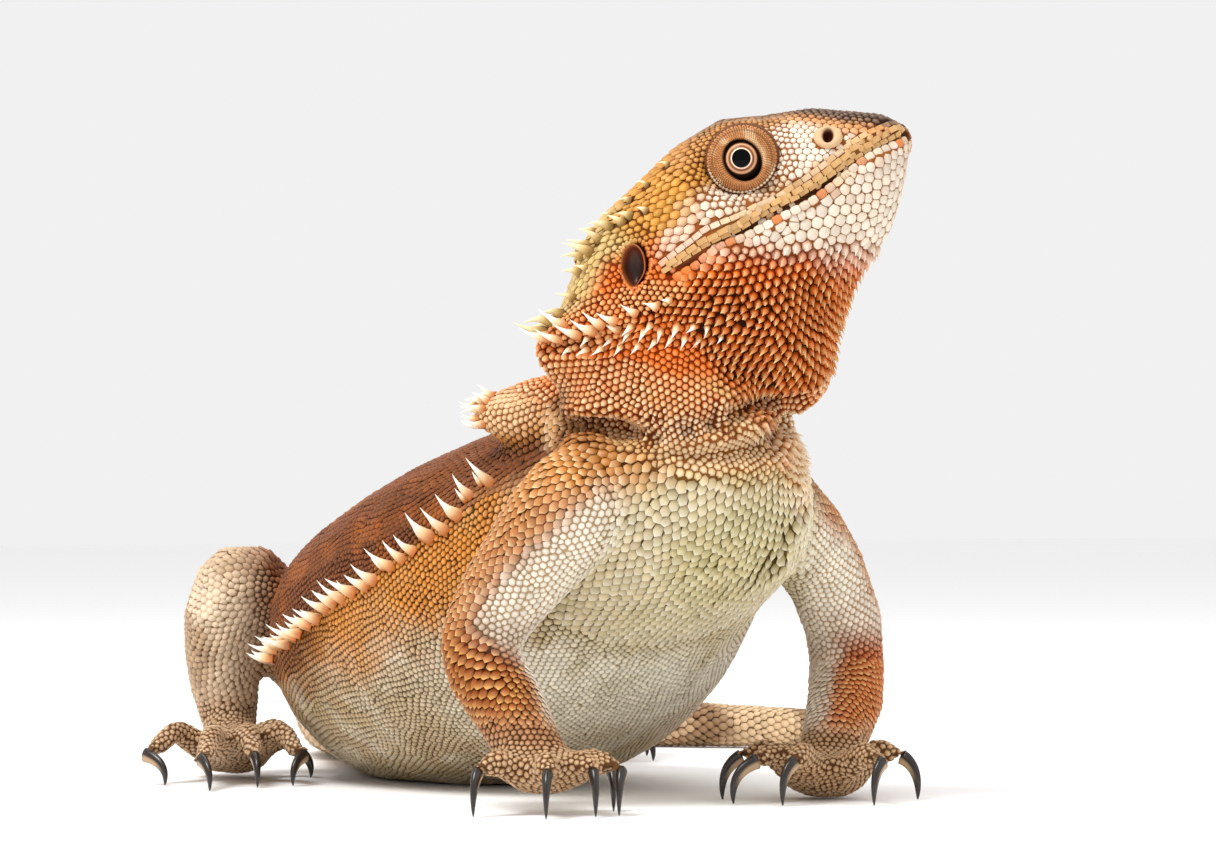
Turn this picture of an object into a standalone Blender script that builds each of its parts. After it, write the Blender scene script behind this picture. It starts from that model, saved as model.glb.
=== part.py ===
"""A bearded dragon at life size: a still model, propped up on its forelegs, its head turned to its left.

The animal faces -Y, its left side is +X and the floor is z = 0. Tables are in millimetres from a point on the
floor under the shoulders, and the finished animal is moved so that its base is centred on the origin.
The flesh is modelled whole from tapered lofts, then parted at the joints by thin cuts."""

import math
from collections import namedtuple

import bmesh
import bpy
from mathutils import Matrix, Vector
from mathutils.bvhtree import BVHTree

MM = 0.001
CUT = 0.32  # width of the thin cuts between neighbouring parts
VOXEL = 0.8  # grain of the blended flesh
FLESH_FACES = 3300  # triangles kept in the flesh before it is parted
HEAD_AT = (-11.7, 3.3, 88.0)  # where the skull sits on the neck
HEAD_YAW = 55.0  # degrees to the animal's left of its trunk
HEAD_PITCH = 31.0  # degrees that the mouth line rises towards the snout
EYE_RADIUS = 4.6
EYE_AT = (30.5, 11.6, 6.3)  # forward, sideways and up from the skull's seat
EAR_AT = (6.7, 22.6, -0.6)
NOSTRIL_AT = (44.7, 11.3, 1.8)
CLAW_RADIUS = 0.9
TOE_RADIUS = 2.2

Section = namedtuple("Section", "x y z yaw pitch wide above below")
TRUNK = [
    Section(0, 150, 10.5, 0, 8, 10, 9, 10),
    Section(0, 131, 15.0, 0, 12, 20, 14, 17),
    Section(-1, 110, 20.0, 0, 14, 28.5, 18.8, 24),
    Section(-2.5, 88, 25.5, -3, 16, 39.6, 24.8, 28.5),
    Section(-4.5, 64, 31.5, -2, 17, 39.5, 26.7, 31.7),
    Section(-5, 40, 38.5, 3, 20, 36, 26.2, 29.5),
    Section(-3, 18, 46.0, 10, 26, 29.5, 24, 22.5),
    Section(0, 0, 53.0, 18, 38, 25, 20, 19.5),
    Section(0, -9, 61.0, 22, 55, 20, 16, 15),
    Section(-3, -9, 70.0, 30, 72, 17, 15, 14),
    Section(-7, -6, 80.0, 42, 75, 17, 14, 14),
    Section(-9, -2, 88.0, 52, 60, 17, 13, 14),
]
Slice = namedtuple("Slice", "along middle wide above below")
HEAD = [
    Slice(-16, -6, 18, 5, 11),
    Slice(-8, -7, 22, 9.5, 17),
    Slice(2, -4, 23.5, 14.6, 25),
    Slice(12, -3.5, 22, 16.6, 28),
    Slice(21, -3, 20, 18.3, 30.5),
    Slice(25.5, -3, 18.5, 18.6, 26),
    Slice(29, -3, 17, 18.8, 22),
    Slice(33.5, -3.3, 15.5, 17.3, 18),
    Slice(37.5, -3.5, 14.2, 15.3, 15.3),
    Slice(44, -3.8, 12, 13, 12.6),
    Slice(49.5, -3.7, 9.8, 8.7, 8.1),
    Slice(53, -3.5, 6.8, 6.3, 4.3),
    Slice(55, -3.4, 4.2, 4.2, 2.3),
    Slice(56, -3.3, 1.5, 1.2, 1.2),
]
# Lumps on the right of the head and on the left, where the neck presses on them: place, then half sizes.
THROAT_LOBES = (((-4.5, -11, -14.5), (13, 10, 10.5)), ((-2, 10, -13), (11, 9, 8.5)))
JOWLS = (((-6, -16, -4.5), (8, 6, 4.5)), ((-5, 16, -4.5), (8, 6, 4.5)))
MOUTH_LEVEL = -4.2  # from the skull's seat, square to the mouth line
JAW_LEVEL = -11.0
BEARD_BACK = 9.0

Point = namedtuple("Point", "x y z radius")
TAIL = [
    Point(0, 132, 14, 13.5),
    Point(2, 160, 9.5, 9.8),
    Point(13, 186, 7.8, 8.1),
    Point(38, 199, 6.7, 7.0),
    Point(66, 187, 5.5, 5.8),
    Point(88, 168, 4.5, 4.8),
    Point(104, 161, 4.0, 4.3),
    Point(116, 170, 3.4, 3.7),
    Point(126, 188, 2.6, 2.9),
    Point(136, 212, 1.6, 1.9),
    Point(139, 219, 1.1, 1.4),
]
TAIL_CUTS = (2, 4, 6)  # the rows of TAIL where one length ends and the next begins

# The skin folded up behind each jowl, which ends in a point.
NECK_FOLDS = (
    [Point(-8, 2, 65, 11), Point(-20, 11, 66, 8), Point(-28, 17, 66.5, 4.6), Point(-31, 19.5, 66.5, 2.2)],
    [Point(4, 8, 63, 10), Point(11, 19, 63, 7.6), Point(14, 27, 63, 4.6), Point(15, 30, 63, 2.2)],
)

LIMBS = {
    "front_right": [
        Point(-14, -3, 54, 11),
        Point(-25, -8, 51, 10),
        Point(-32, -1, 39.8, 8.5),
        Point(-35.6, 3.6, 32.3, 7.4),
        Point(-37, 5.4, 27.5, 6.8),
        Point(-37.6, 0.7, 23, 6.8),
        Point(-36.8, -5.8, 17.5, 6.6),
        Point(-35.8, -11, 12, 6.0),
    ],
    "front_left": [
        Point(10, 3, 51, 11),
        Point(19, 7, 49.5, 9.6),
        Point(31, 14, 42, 7.8),
        Point(39, 19.5, 31.5, 7.2),
        Point(41.6, 22, 24, 6.9),
        Point(39, 17, 18, 6.9),
        Point(35, 11.5, 13.7, 6.6),
        Point(30.4, 5.5, 9.2, 6.0),
    ],
    "hind_right": [
        Point(-10, 117, 20, 13),
        Point(-19, 114, 21.5, 12),
        Point(-31, 110, 27.2, 8.4),
        Point(-40, 106.5, 36, 7.8),
        Point(-43.4, 108, 32, 7.5),
        Point(-42.6, 112, 24.5, 7.3),
        Point(-40.8, 115.5, 17, 6.7),
        Point(-39, 117.5, 9.5, 5.4),
    ],
    "hind_left": [
        Point(10, 114, 20, 13),
        Point(19, 115, 22, 12.5),
        Point(33, 124, 28.5, 10.2),
        Point(44, 134, 32, 7.8),
        Point(47, 139, 30.5, 7.6),
        Point(45.5, 149, 23, 7.4),
        Point(43, 158, 16.5, 6.6),
        Point(40.5, 165, 10, 5.2),
    ],
}
# size: half the palm along, across and up. knuckle: how high the toes arch. claw: how high the claws start.
# digits: first to fifth, each with the places where its toe ends and where its claw meets the floor.
Foot = namedtuple("Foot", "palm heading size knuckle claw digits")
Digit = namedtuple("Digit", "toe tip")
FEET = {
    "front_right": Foot((-34, -14.5, 7), 12, (8, 7.5, 4.2), 9.4, 6.6, [
        Digit((-21.5, -14), (-22.2, -16.6)),
        Digit((-25, -25.5), (-26.2, -27.3)),
        Digit((-30.6, -26.8), (-31, -28.5)),
        Digit((-40, -29), (-41, -30.8)),
        Digit((-47.9, -18.4), (-49.2, -19.9)),
    ]),
    "front_left": Foot((27.5, 3, 4.5), -25, (8.5, 8.2, 4.8), 9, 6.8, [
        Digit((11.9, 6), (9, 5.8)),
        Digit((8.8, -6.3), (5.2, -6.1)),
        Digit((12.7, -13.6), (10.5, -14.3)),
        Digit((26.4, -19.9), (24.6, -20.8)),
        Digit((38.4, -6.2), (39.8, -8.2)),
    ]),
    "hind_right": Foot((-42.5, 107, 5.2), -10, (12, 8, 4.8), 9.8, 4.9, [
        Digit((-32, 102), (-30, 99)),
        Digit((-40.4, 77.5), (-43, 75.5)),
        Digit((-50.2, 75.5), (-50.8, 73)),
        Digit((-62.6, 69.5), (-62.4, 66.5)),
        Digit((-65, 90.5), (-63.2, 87)),
    ]),
    "hind_left": Foot((40, 156, 5.2), 4, (12, 8, 4.8), 9.8, 4.9, [
        Digit((29, 149), (27.6, 146.6)),
        Digit((34.5, 136.5), (34, 133.5)),
        Digit((42.5, 128.5), (42.5, 125.5)),
        Digit((51.5, 127.5), (52.5, 124.8)),
        Digit((58, 145), (59.5, 142.4)),
    ]),
}

# Where each limb leaves the body: a point, the way outwards, and how far the cut there reaches.
LIMB_ROOTS = {
    "front_right": ((-27.4, -2, 44), (-0.93, -0.36, -0.05), 26),
    "front_left": ((27.4, 9.4, 47.2), (0.93, -0.36, -0.05), 24),
    "hind_right": ((-36, 109.2, 32.2), (-0.91, 0.42, 0), 18),
    "hind_left": ((28.1, 120.5, 26.3), (0.74, 0.42, 0.53), 15),
}
LIMB_BEND = 3.9  # the row of a limb's table at the elbow or knee
LIMB_END = 6.4  # the row just above the wrist or ankle
LIMB_PARTS = {"front": ("upper_arm", "forearm", "hand"), "hind": ("thigh", "shank", "foot")}
WAIST = 3.5  # the row of TRUNK between trunk and hips
TAIL_ROOT = 0.8
COLLAR = ((0, -2, 62.3), (0.128, -0.317, 0.94))  # between trunk and neck: a point and the way up

# A row of spines: where it starts and ends, how many, how long, and the way they lean.
SpineRow = namedtuple("SpineRow", "start end count length lean")
SPINE_RADIUS = 0.85
SPINE_ROOT = 1.2  # how deep a spine's root is sunk
# On each side of the head, from the skull's seat: forward, sideways and up. Leans are in the same axes.
HEAD_SPINES = (
    SpineRow((-6, 12, 11.5), (4, 17, 9.5), 4, 4.2, (-0.9, 0.4, 0.2)),
    SpineRow((-14, 20, 3.5), (-7, 22, 4.5), 3, 5, (-0.95, 0.3, 0.1)),
    SpineRow((-13, 21, -1), (3, 25, -1), 6, 3.4, (-0.85, 0.5, -0.05)),
)
# At the point of each neck fold, in the animal's axes.
FOLD_SPINES = (
    SpineRow((-31, 19, 68.5), (-31.5, 18.5, 64.8), 3, 2.6, (-0.75, 0.6, 0.15)),
    SpineRow((14, 30, 68.5), (15, 30.5, 64.8), 3, 2.6, (0.2, 0.95, 0.15)),
)
# Along the flanks: the rows of TRUNK where the spines start and end, how many, and how long.
FLANK_SPINES = (2.55, 6.15, 15, 3.3)

# name: (colour, roughness)
MATERIALS = {
    "orange_skin": ((0.62, 0.27, 0.08), 0.55),
    "pale_skin": ((0.70, 0.66, 0.52), 0.6),
    "brown_skin": ((0.36, 0.22, 0.13), 0.6),
    "eye": ((0.03, 0.02, 0.015), 0.08),
    "claw": ((0.035, 0.028, 0.025), 0.3),
}


def blend(rows, position):
    """A table's values at a fractional row number, on a smooth curve through the rows."""
    index = min(int(position), len(rows) - 2)
    t = position - index
    before, start, end, after = (rows[max(0, min(len(rows) - 1, index + k))] for k in (-1, 0, 1, 2))
    return [
        0.5 * (2 * b + (c - a) * t + (2 * a - 5 * b + 4 * c - d) * t * t + (3 * b - a - 3 * c + d) * t ** 3)
        for a, b, c, d in zip(before, start, end, after)
    ]


def signed_power(value, power):
    return math.copysign(abs(value) ** power, value)


def oval(middle, side, up, wide, above, below, sides=28, top=2.3, low=2.2):
    """Points round a section whose upper and lower halves differ in height and squareness."""
    points = []
    for k in range(sides):
        angle = 2 * math.pi * k / sides
        power = 2 / (top if math.sin(angle) >= 0 else low)
        height = above if math.sin(angle) >= 0 else below
        points.append(
            middle
            + side * (wide * signed_power(math.cos(angle), power))
            + up * (height * signed_power(math.sin(angle), power))
        )
    return points


def heading(yaw, pitch):
    """Forward, left and up of something that faces -Y, turned left by yaw and raised by pitch degrees."""
    yaw, pitch = math.radians(yaw), math.radians(pitch)
    forward = Vector((math.sin(yaw) * math.cos(pitch), -math.cos(yaw) * math.cos(pitch), math.sin(pitch)))
    side = Vector((math.cos(yaw), math.sin(yaw), 0))
    return forward, side, forward.cross(side)


def loft(name, rings):
    """A closed solid through rings of points, with its two ends filled."""
    body = bmesh.new()
    loops = [[body.verts.new(point * MM) for point in ring] for ring in rings]
    for near, far in zip(loops, loops[1:]):
        for k in range(len(near)):
            after = (k + 1) % len(near)
            body.faces.new((near[k], near[after], far[after], far[k]))
    body.faces.new(reversed(loops[0]))
    body.faces.new(loops[-1])
    bmesh.ops.recalc_face_normals(body, faces=body.faces)
    mesh = bpy.data.meshes.new(name)
    body.to_mesh(mesh)
    body.free()
    made = bpy.data.objects.new(name, mesh)
    parts.objects.link(made)
    return made


def along(rows, steps):
    """The fractional row numbers at which a table is sampled."""
    return [k / steps for k in range((len(rows) - 1) * steps + 1)]


def trunk_ring(position):
    row = Section(*blend(TRUNK, position))
    _, side, up = heading(row.yaw, row.pitch)
    return oval(Vector((row.x, row.y, row.z)), side, up, row.wide, row.above, row.below)


def head_point(along_head, sideways, upwards):
    forward, side, up = heading(HEAD_YAW, HEAD_PITCH)
    return Vector(HEAD_AT) + forward * along_head + side * sideways + up * upwards


def head_ring(position):
    row = Slice(*blend(HEAD, position))
    _, side, up = heading(HEAD_YAW, HEAD_PITCH)
    middle = head_point(row.along, 0, row.middle)
    return oval(middle, side, up, row.wide, row.above, row.below, top=2.6, low=1.8)


def tube_frames(path, steps, reference=Vector((0, 0, 1))):
    """Middle, side, up and radius of each section of a bent tube."""
    rows = [Point(*blend(path, position)) for position in along(path, steps)]
    middles = [Vector(row[:3]) for row in rows]
    frames = []
    for k, row in enumerate(rows):
        forward = (middles[min(k + 1, len(rows) - 1)] - middles[max(k - 1, 0)]).normalized()
        side = forward.cross(reference)
        if frames and side.dot(frames[-1][1]) < 0:
            side = -side
        side = side.normalized() if side.length > 0.05 else frames[-1][1]
        frames.append((middles[k], side, side.cross(forward).normalized(), row.radius))
    return frames


def tube(name, path, steps=4, sides=16, flat=1.0, reference=Vector((0, 0, 1))):
    """A bent, tapered tube. flat is its thickness as a share of its width."""
    rings = [
        oval(middle, side, up, radius, radius * flat, radius * flat, sides, 2, 2)
        for middle, side, up, radius in tube_frames(path, steps, reference)
    ]
    return loft(name, rings)


def ellipsoid(name, middle, yaw, pitch, radii, segments=18, rings=12):
    bpy.ops.mesh.primitive_uv_sphere_add(segments=segments, ring_count=rings, radius=MM)
    made = bpy.context.object
    made.name = name
    forward, side, up = heading(yaw, pitch)
    turn = Matrix((forward * radii[0], side * radii[1], up * radii[2])).transposed().to_4x4()
    made.data.transform(Matrix.Translation(Vector(middle) * MM) @ turn)
    keep_in(parts, made)
    return made


def keep_in(collection, thing):
    for other in list(thing.users_collection):
        other.objects.unlink(thing)
    collection.objects.link(thing)


def digit_path(foot, digit):
    """Points from the middle of a foot over the knuckle to where the claw starts, and on to its tip."""
    palm, toe_end, tip = (Vector(place[:2]).to_3d() for place in (foot.palm, digit.toe, digit.tip))
    arch = foot.knuckle
    toe = [
        (0.05, foot.palm[2], TOE_RADIUS * 1.5),
        (0.40, 0.45 * foot.palm[2] + 0.42 * arch, TOE_RADIUS * 1.35),
        (0.68, arch - 0.5, TOE_RADIUS * 1.1),
        (0.85, 0.55 * arch + 0.4 * foot.claw, TOE_RADIUS),
        (1.0, foot.claw, TOE_RADIUS * 0.85),
    ]
    claw = [
        (0.0, foot.claw + 0.6, CLAW_RADIUS * 1.2),
        (0.4, foot.claw * 0.75, CLAW_RADIUS * 1.05),
        (0.85, foot.claw * 0.38, CLAW_RADIUS * 0.75),
        (1.0, -0.35, CLAW_RADIUS * 0.4),
    ]
    return [
        [Point(*start.lerp(end, share).xy, height, radius) for share, height, radius in rows]
        for start, end, rows in ((palm, toe_end, toe), (toe_end, tip, claw))
    ]


def model_flesh():
    """All the flesh as one blended body, standing on flats at z = 0."""
    pieces = [loft("trunk", [trunk_ring(position) for position in along(TRUNK, 4)])]
    pieces.append(loft("head", [head_ring(position) for position in along(HEAD, 3)]))
    for place, radii in THROAT_LOBES + JOWLS:
        pieces.append(ellipsoid("lump", head_point(*place), HEAD_YAW, HEAD_PITCH, radii))
    for path in NECK_FOLDS:
        pieces.append(tube("neck_fold", path))
    pieces.append(tube("tail", TAIL, flat=0.97))
    for name, path in LIMBS.items():
        foot = FEET[name]
        pieces.append(tube(name, path, reference=Vector((0.3, 1, 0))))
        pieces.append(ellipsoid("palm", foot.palm, foot.heading, 0, foot.size))
        wrist = path[-1]
        wrist_path = [wrist, Point(*foot.palm, wrist.radius * 0.85)]
        pieces.append(tube("wrist", wrist_path, reference=Vector((1, 0.2, 0))))
        for digit in foot.digits:
            pieces.append(tube("toe", digit_path(foot, digit)[0], steps=3, sides=12))
    flesh = joined("flesh", pieces)
    remesh = flesh.modifiers.new("Blend", "REMESH")
    remesh.mode = "VOXEL"
    remesh.voxel_size = VOXEL * MM
    smooth = flesh.modifiers.new("Soften", "SMOOTH")
    smooth.iterations = 4
    bake(flesh)
    thin = flesh.modifiers.new("Thin", "DECIMATE")
    thin.ratio = FLESH_FACES / triangle_count(flesh)
    bake(flesh)
    stand_on_floor(flesh)
    return flesh


def joined(name, pieces):
    bpy.ops.object.select_all(action="DESELECT")
    for piece in pieces:
        piece.select_set(True)
    bpy.context.view_layer.objects.active = pieces[0]
    bpy.ops.object.join()
    pieces[0].name = name
    return pieces[0]


def bake(thing):
    """Replaces an object's mesh by what its modifiers make of it."""
    graph = bpy.context.evaluated_depsgraph_get()
    mesh = bpy.data.meshes.new_from_object(thing.evaluated_get(graph))
    thing.modifiers.clear()
    thing.data = mesh


def triangle_count(thing):
    thing.data.calc_loop_triangles()
    return len(thing.data.loop_triangles)


def stand_on_floor(thing):
    """Trims what dips below z = 0 and closes it with a flat."""
    body = bmesh.new()
    body.from_mesh(thing.data)
    everything = body.verts[:] + body.edges[:] + body.faces[:]
    trimmed = bmesh.ops.bisect_plane(
        body, geom=everything, plane_co=(0, 0, 0), plane_no=(0, 0, -1), clear_outer=True, dist=0.00002
    )
    rim = [item for item in trimmed["geom_cut"] if isinstance(item, bmesh.types.BMEdge)]
    bmesh.ops.holes_fill(body, edges=rim, sides=0)
    bmesh.ops.triangulate(body, faces=body.faces)
    body.to_mesh(thing.data)
    body.free()


def cut_away(thing, cutter, operation="DIFFERENCE"):
    """Takes the cutter's shape out of an object, or adds it with UNION."""
    keep_in(cutters, cutter)
    cutter.hide_render = True
    cutter.display_type = "WIRE"
    boolean = thing.modifiers.new("Cut", "BOOLEAN")
    boolean.operation = operation
    boolean.object = cutter
    boolean.use_self = operation == "UNION"
    bake(thing)


def turned_to(direction):
    """The turn that points +Z along a direction."""
    return direction.to_track_quat("Z", "Y").to_matrix().to_4x4()


def disc(middle, normal, radius, thickness, sides=20):
    bpy.ops.mesh.primitive_cylinder_add(vertices=sides, radius=radius * MM, depth=thickness * MM)
    made = bpy.context.object
    made.data.transform(Matrix.Translation(Vector(middle) * MM) @ turned_to(normal))
    return made


def path_place(path, position):
    """A point on a tube's middle line and the direction of the line there."""
    here = Vector(blend(path, position)[:3])
    before, after = (Vector(blend(path, position + step)[:3]) for step in (-0.05, 0.05))
    return here, (after - before).normalized()


def spine(tree, near, lean, length):
    """A three-sided spine that grows from the nearest point of the flesh."""
    root = tree.find_nearest(Vector(near) * MM)[0] / MM
    lean = Vector(lean).normalized()
    bpy.ops.mesh.primitive_cone_add(vertices=3, radius1=SPINE_RADIUS * MM, depth=(length + SPINE_ROOT) * MM)
    made = bpy.context.object
    middle = root + lean * (length - SPINE_ROOT) / 2
    made.data.transform(Matrix.Translation(middle * MM) @ turned_to(lean))
    return made


def grow_spines(flesh):
    """The large spines of the head, the neck folds and the flanks, joined to the flesh."""
    body = bmesh.new()
    body.from_mesh(flesh.data)
    tree = BVHTree.FromBMesh(body)
    spines = []
    forward, side, up = heading(HEAD_YAW, HEAD_PITCH)
    for row in HEAD_SPINES:
        for sign in (-1, 1):
            lean = forward * row.lean[0] + side * (sign * row.lean[1]) + up * row.lean[2]
            for along_head, sideways, upwards in spread(row):
                spines.append(spine(tree, head_point(along_head, sign * sideways, upwards), lean, row.length))
    for row in FOLD_SPINES:
        for place in spread(row):
            spines.append(spine(tree, place, row.lean, row.length))
    first, last, count, length = FLANK_SPINES
    for k in range(count):
        position = first + (last - first) * k / (count - 1)
        if abs(position - WAIST) < 0.15:
            continue
        row = Section(*blend(TRUNK, position))
        forward, side, up = heading(row.yaw, row.pitch)
        rise = row.above * (0.45 * ((position - first) / (last - first)) ** 3 - 0.12)
        for sign in (-1, 1):
            near = Vector((row.x, row.y, row.z)) + side * (sign * row.wide) + up * rise
            spines.append(spine(tree, near, side * (sign * 0.8) - forward * 0.6 + up * 0.25, length))
    body.free()
    cut_away(flesh, joined("spines", spines), "UNION")


def spread(row):
    """Evenly spaced places along a row of spines."""
    start, end = Vector(row.start), Vector(row.end)
    return [start.lerp(end, k / (row.count - 1)) for k in range(row.count)]


def make_sockets(flesh):
    """Room for the eyeballs, the ear pits, the nostrils and the claws."""
    for sign in (-1, 1):
        eye = head_point(EYE_AT[0], sign * EYE_AT[1], EYE_AT[2])
        cut_away(flesh, ellipsoid("socket", eye, 0, 0, [EYE_RADIUS + CUT] * 3, 12, 8))
        ear = head_point(EAR_AT[0], sign * EAR_AT[1], EAR_AT[2])
        cut_away(flesh, ellipsoid("ear_pit", ear, HEAD_YAW, HEAD_PITCH - 35, (2.2, 2.5, 3.6), 9, 5))
        nostril = head_point(NOSTRIL_AT[0], sign * NOSTRIL_AT[1], NOSTRIL_AT[2])
        cut_away(flesh, ellipsoid("nostril", nostril, HEAD_YAW, HEAD_PITCH, (0.9, 1.5, 1.3), 7, 4))
    for foot in FEET.values():
        for digit in foot.digits:
            claw = digit_path(foot, digit)[1]
            root = Vector(claw[0][:3])
            outward = (Vector(claw[1][:3]) - root).normalized()
            cut_away(flesh, disc(root + outward * (2.5 - CUT), outward, TOE_RADIUS * 1.5, 5, 8))


def split(piece, name, place, facing, reach=60):
    """Parts a piece by a thin cut. Returns what lies behind the cut and, newly named, what lies ahead."""
    facing = Vector(facing).normalized()
    kept_name = piece.name
    cut_away(piece, disc(place, facing, reach, CUT))
    bpy.ops.object.select_all(action="DESELECT")
    piece.select_set(True)
    bpy.context.view_layer.objects.active = piece
    bpy.ops.mesh.separate(type="LOOSE")
    halves = sorted(bpy.context.selected_objects, key=lambda half: facing.dot(middle_of(half)))
    if len(halves) != 2:
        print("the cut for", name, "leaves", len(halves), "pieces")
    behind, ahead = halves[0], halves[-1]
    behind.name = "half"
    ahead.name = name
    behind.name = kept_name
    return behind, ahead


def middle_of(thing):
    return sum((vertex.co for vertex in thing.data.vertices), Vector()) / len(thing.data.vertices)


def part_flesh(trunk):
    """Parts the flesh at the joints. Each cut is made only in the piece that it parts."""
    trunk.name = "trunk"
    for name, path in LIMBS.items():
        kind, side = name.split("_")
        upper, lower, end = (f"{part}_{side}" for part in LIMB_PARTS[kind])
        trunk, limb = split(trunk, upper, *LIMB_ROOTS[name])
        limb, rest = split(limb, lower, *path_place(path, LIMB_BEND))
        split(rest, end, path_place(path, LIMB_END)[0], (0, 0, -1))
    waist = Section(*blend(TRUNK, WAIST))
    trunk, hips = split(trunk, "hips", waist[:3], -heading(waist.yaw, waist.pitch)[0])
    root = Section(*blend(TRUNK, TAIL_ROOT))
    hips, tail = split(hips, "tail_1", root[:3], -heading(root.yaw, root.pitch)[0])
    for number, row in enumerate(TAIL_CUTS, start=2):
        middle, forward = path_place(TAIL, row)
        _, tail = split(tail, f"tail_{number}", middle, forward, TAIL[row].radius * 2.5)
    trunk, neck = split(trunk, "neck", *COLLAR)
    forward, _, up = heading(HEAD_YAW, HEAD_PITCH)
    neck, jaw = split(neck, "lower_jaw", head_point(10, 0, JAW_LEVEL), up, 90)
    split(jaw, "head", head_point(10, 0, MOUTH_LEVEL), up, 90)
    split(neck, "beard", head_point(BEARD_BACK, 0, -24), forward)
    for thing in parts.objects:
        thing.data.materials.append(material(skin_of(thing.name)))


def skin_of(name):
    if name.startswith(("tail", "thigh", "shank", "foot", "hips")):
        return "brown_skin"
    return "pale_skin" if name in ("trunk", "lower_jaw") else "orange_skin"


def material(name):
    if name in bpy.data.materials:
        return bpy.data.materials[name]
    made = bpy.data.materials.new(name)
    made.use_nodes = True
    shader = made.node_tree.nodes["Principled BSDF"]
    colour, roughness = MATERIALS[name]
    shader.inputs["Base Color"].default_value = (*colour, 1)
    shader.inputs["Roughness"].default_value = roughness
    return made


def model_eyes():
    for side, sign in (("right", -1), ("left", 1)):
        eye = head_point(EYE_AT[0], sign * EYE_AT[1], EYE_AT[2])
        made = ellipsoid(f"eye_{side}", eye, HEAD_YAW, HEAD_PITCH, [EYE_RADIUS] * 3, 14, 9)
        made.data.materials.append(material("eye"))


def model_claws():
    for limb, foot in FEET.items():
        for number, digit in enumerate(foot.digits, start=1):
            made = tube(f"claw_{limb}_{number}", digit_path(foot, digit)[1], steps=2, sides=5)
            stand_on_floor(made)
            made.data.materials.append(material("claw"))


def centre_on_base():
    """Moves every object so that the animal's box has the middle of its base on the origin."""
    corners = [thing.matrix_world @ vertex.co for thing in parts.objects for vertex in thing.data.vertices]
    low = [min(corner[axis] for corner in corners) for axis in range(3)]
    high = [max(corner[axis] for corner in corners) for axis in range(3)]
    shift = Vector((-(low[0] + high[0]) / 2, -(low[1] + high[1]) / 2, -low[2]))
    print("shift in mm:", [round(value / MM, 3) for value in shift])
    for thing in parts.objects:
        thing.data.transform(Matrix.Translation(shift))


def shade(thing):
    thing.data.shade_smooth()
    thing.data.set_sharp_from_angle(angle=math.radians(50))


for thing in list(bpy.data.objects):
    bpy.data.objects.remove(thing)
parts = bpy.data.collections.new("bearded_dragon")
cutters = bpy.data.collections.new("cutters")
bpy.context.scene.collection.children.link(parts)
bpy.context.scene.collection.children.link(cutters)
flesh = model_flesh()
grow_spines(flesh)
make_sockets(flesh)
part_flesh(flesh)
model_eyes()
model_claws()
centre_on_base()
for thing in parts.objects:
    shade(thing)
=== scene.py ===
import heapq
import math

import bpy
import numpy as np
from mathutils import Matrix, Vector
from mathutils.bvhtree import BVHTree
from mathutils.kdtree import KDTree


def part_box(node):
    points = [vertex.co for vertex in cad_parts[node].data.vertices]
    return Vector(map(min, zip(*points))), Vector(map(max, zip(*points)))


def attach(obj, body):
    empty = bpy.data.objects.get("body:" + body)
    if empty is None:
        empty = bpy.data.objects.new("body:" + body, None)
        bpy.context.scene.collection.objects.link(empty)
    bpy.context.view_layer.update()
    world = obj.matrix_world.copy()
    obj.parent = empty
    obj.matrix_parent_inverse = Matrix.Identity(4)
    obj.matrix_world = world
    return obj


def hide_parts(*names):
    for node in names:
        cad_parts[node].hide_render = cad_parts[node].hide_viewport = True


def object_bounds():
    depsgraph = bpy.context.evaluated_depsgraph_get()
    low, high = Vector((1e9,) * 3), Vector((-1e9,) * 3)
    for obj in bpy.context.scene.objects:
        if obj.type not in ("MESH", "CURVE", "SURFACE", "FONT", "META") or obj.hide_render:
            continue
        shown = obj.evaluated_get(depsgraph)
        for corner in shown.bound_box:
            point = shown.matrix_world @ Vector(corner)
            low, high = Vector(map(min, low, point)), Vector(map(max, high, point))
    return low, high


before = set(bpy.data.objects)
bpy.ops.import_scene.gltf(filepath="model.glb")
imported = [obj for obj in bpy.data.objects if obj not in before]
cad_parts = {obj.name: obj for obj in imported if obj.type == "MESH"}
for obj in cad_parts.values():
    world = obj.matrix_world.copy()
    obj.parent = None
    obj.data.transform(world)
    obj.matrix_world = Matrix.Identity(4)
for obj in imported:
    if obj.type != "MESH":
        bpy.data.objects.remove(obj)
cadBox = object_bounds()
mm = 0.001
dice = np.random.default_rng(11)


def deselect():
    bpy.ops.object.select_all(action="DESELECT")


def pick(piece):
    deselect()
    piece.select_set(True)
    bpy.context.view_layer.objects.active = piece


def editOn(piece):
    pick(piece)
    bpy.ops.object.mode_set(mode="EDIT")


def editOff():
    bpy.ops.object.mode_set(mode="OBJECT")


def bakeModifier(piece, kind, **settings):
    pick(piece)
    modifier = piece.modifiers.new(kind.title(), kind)
    for key, value in settings.items():
        setattr(modifier, key, value)
    bpy.ops.object.modifier_apply(modifier=modifier.name)


def faceOutwards(piece):
    editOn(piece)
    bpy.ops.mesh.select_all(action="SELECT")
    bpy.ops.mesh.normals_make_consistent(inside=False)
    editOff()


def vertsOf(piece):
    flat = np.empty(len(piece.data.vertices) * 3)
    piece.data.vertices.foreach_get("co", flat)
    return flat.reshape(-1, 3)


def putVerts(piece, places):
    piece.data.vertices.foreach_set("co", np.ascontiguousarray(places, dtype=np.float32).ravel())
    piece.data.update()


def normalsOf(piece):
    flat = np.empty(len(piece.data.vertices) * 3, dtype=np.float32)
    piece.data.vertex_normals.foreach_get("vector", flat)
    return flat.reshape(-1, 3).astype(float)


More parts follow.
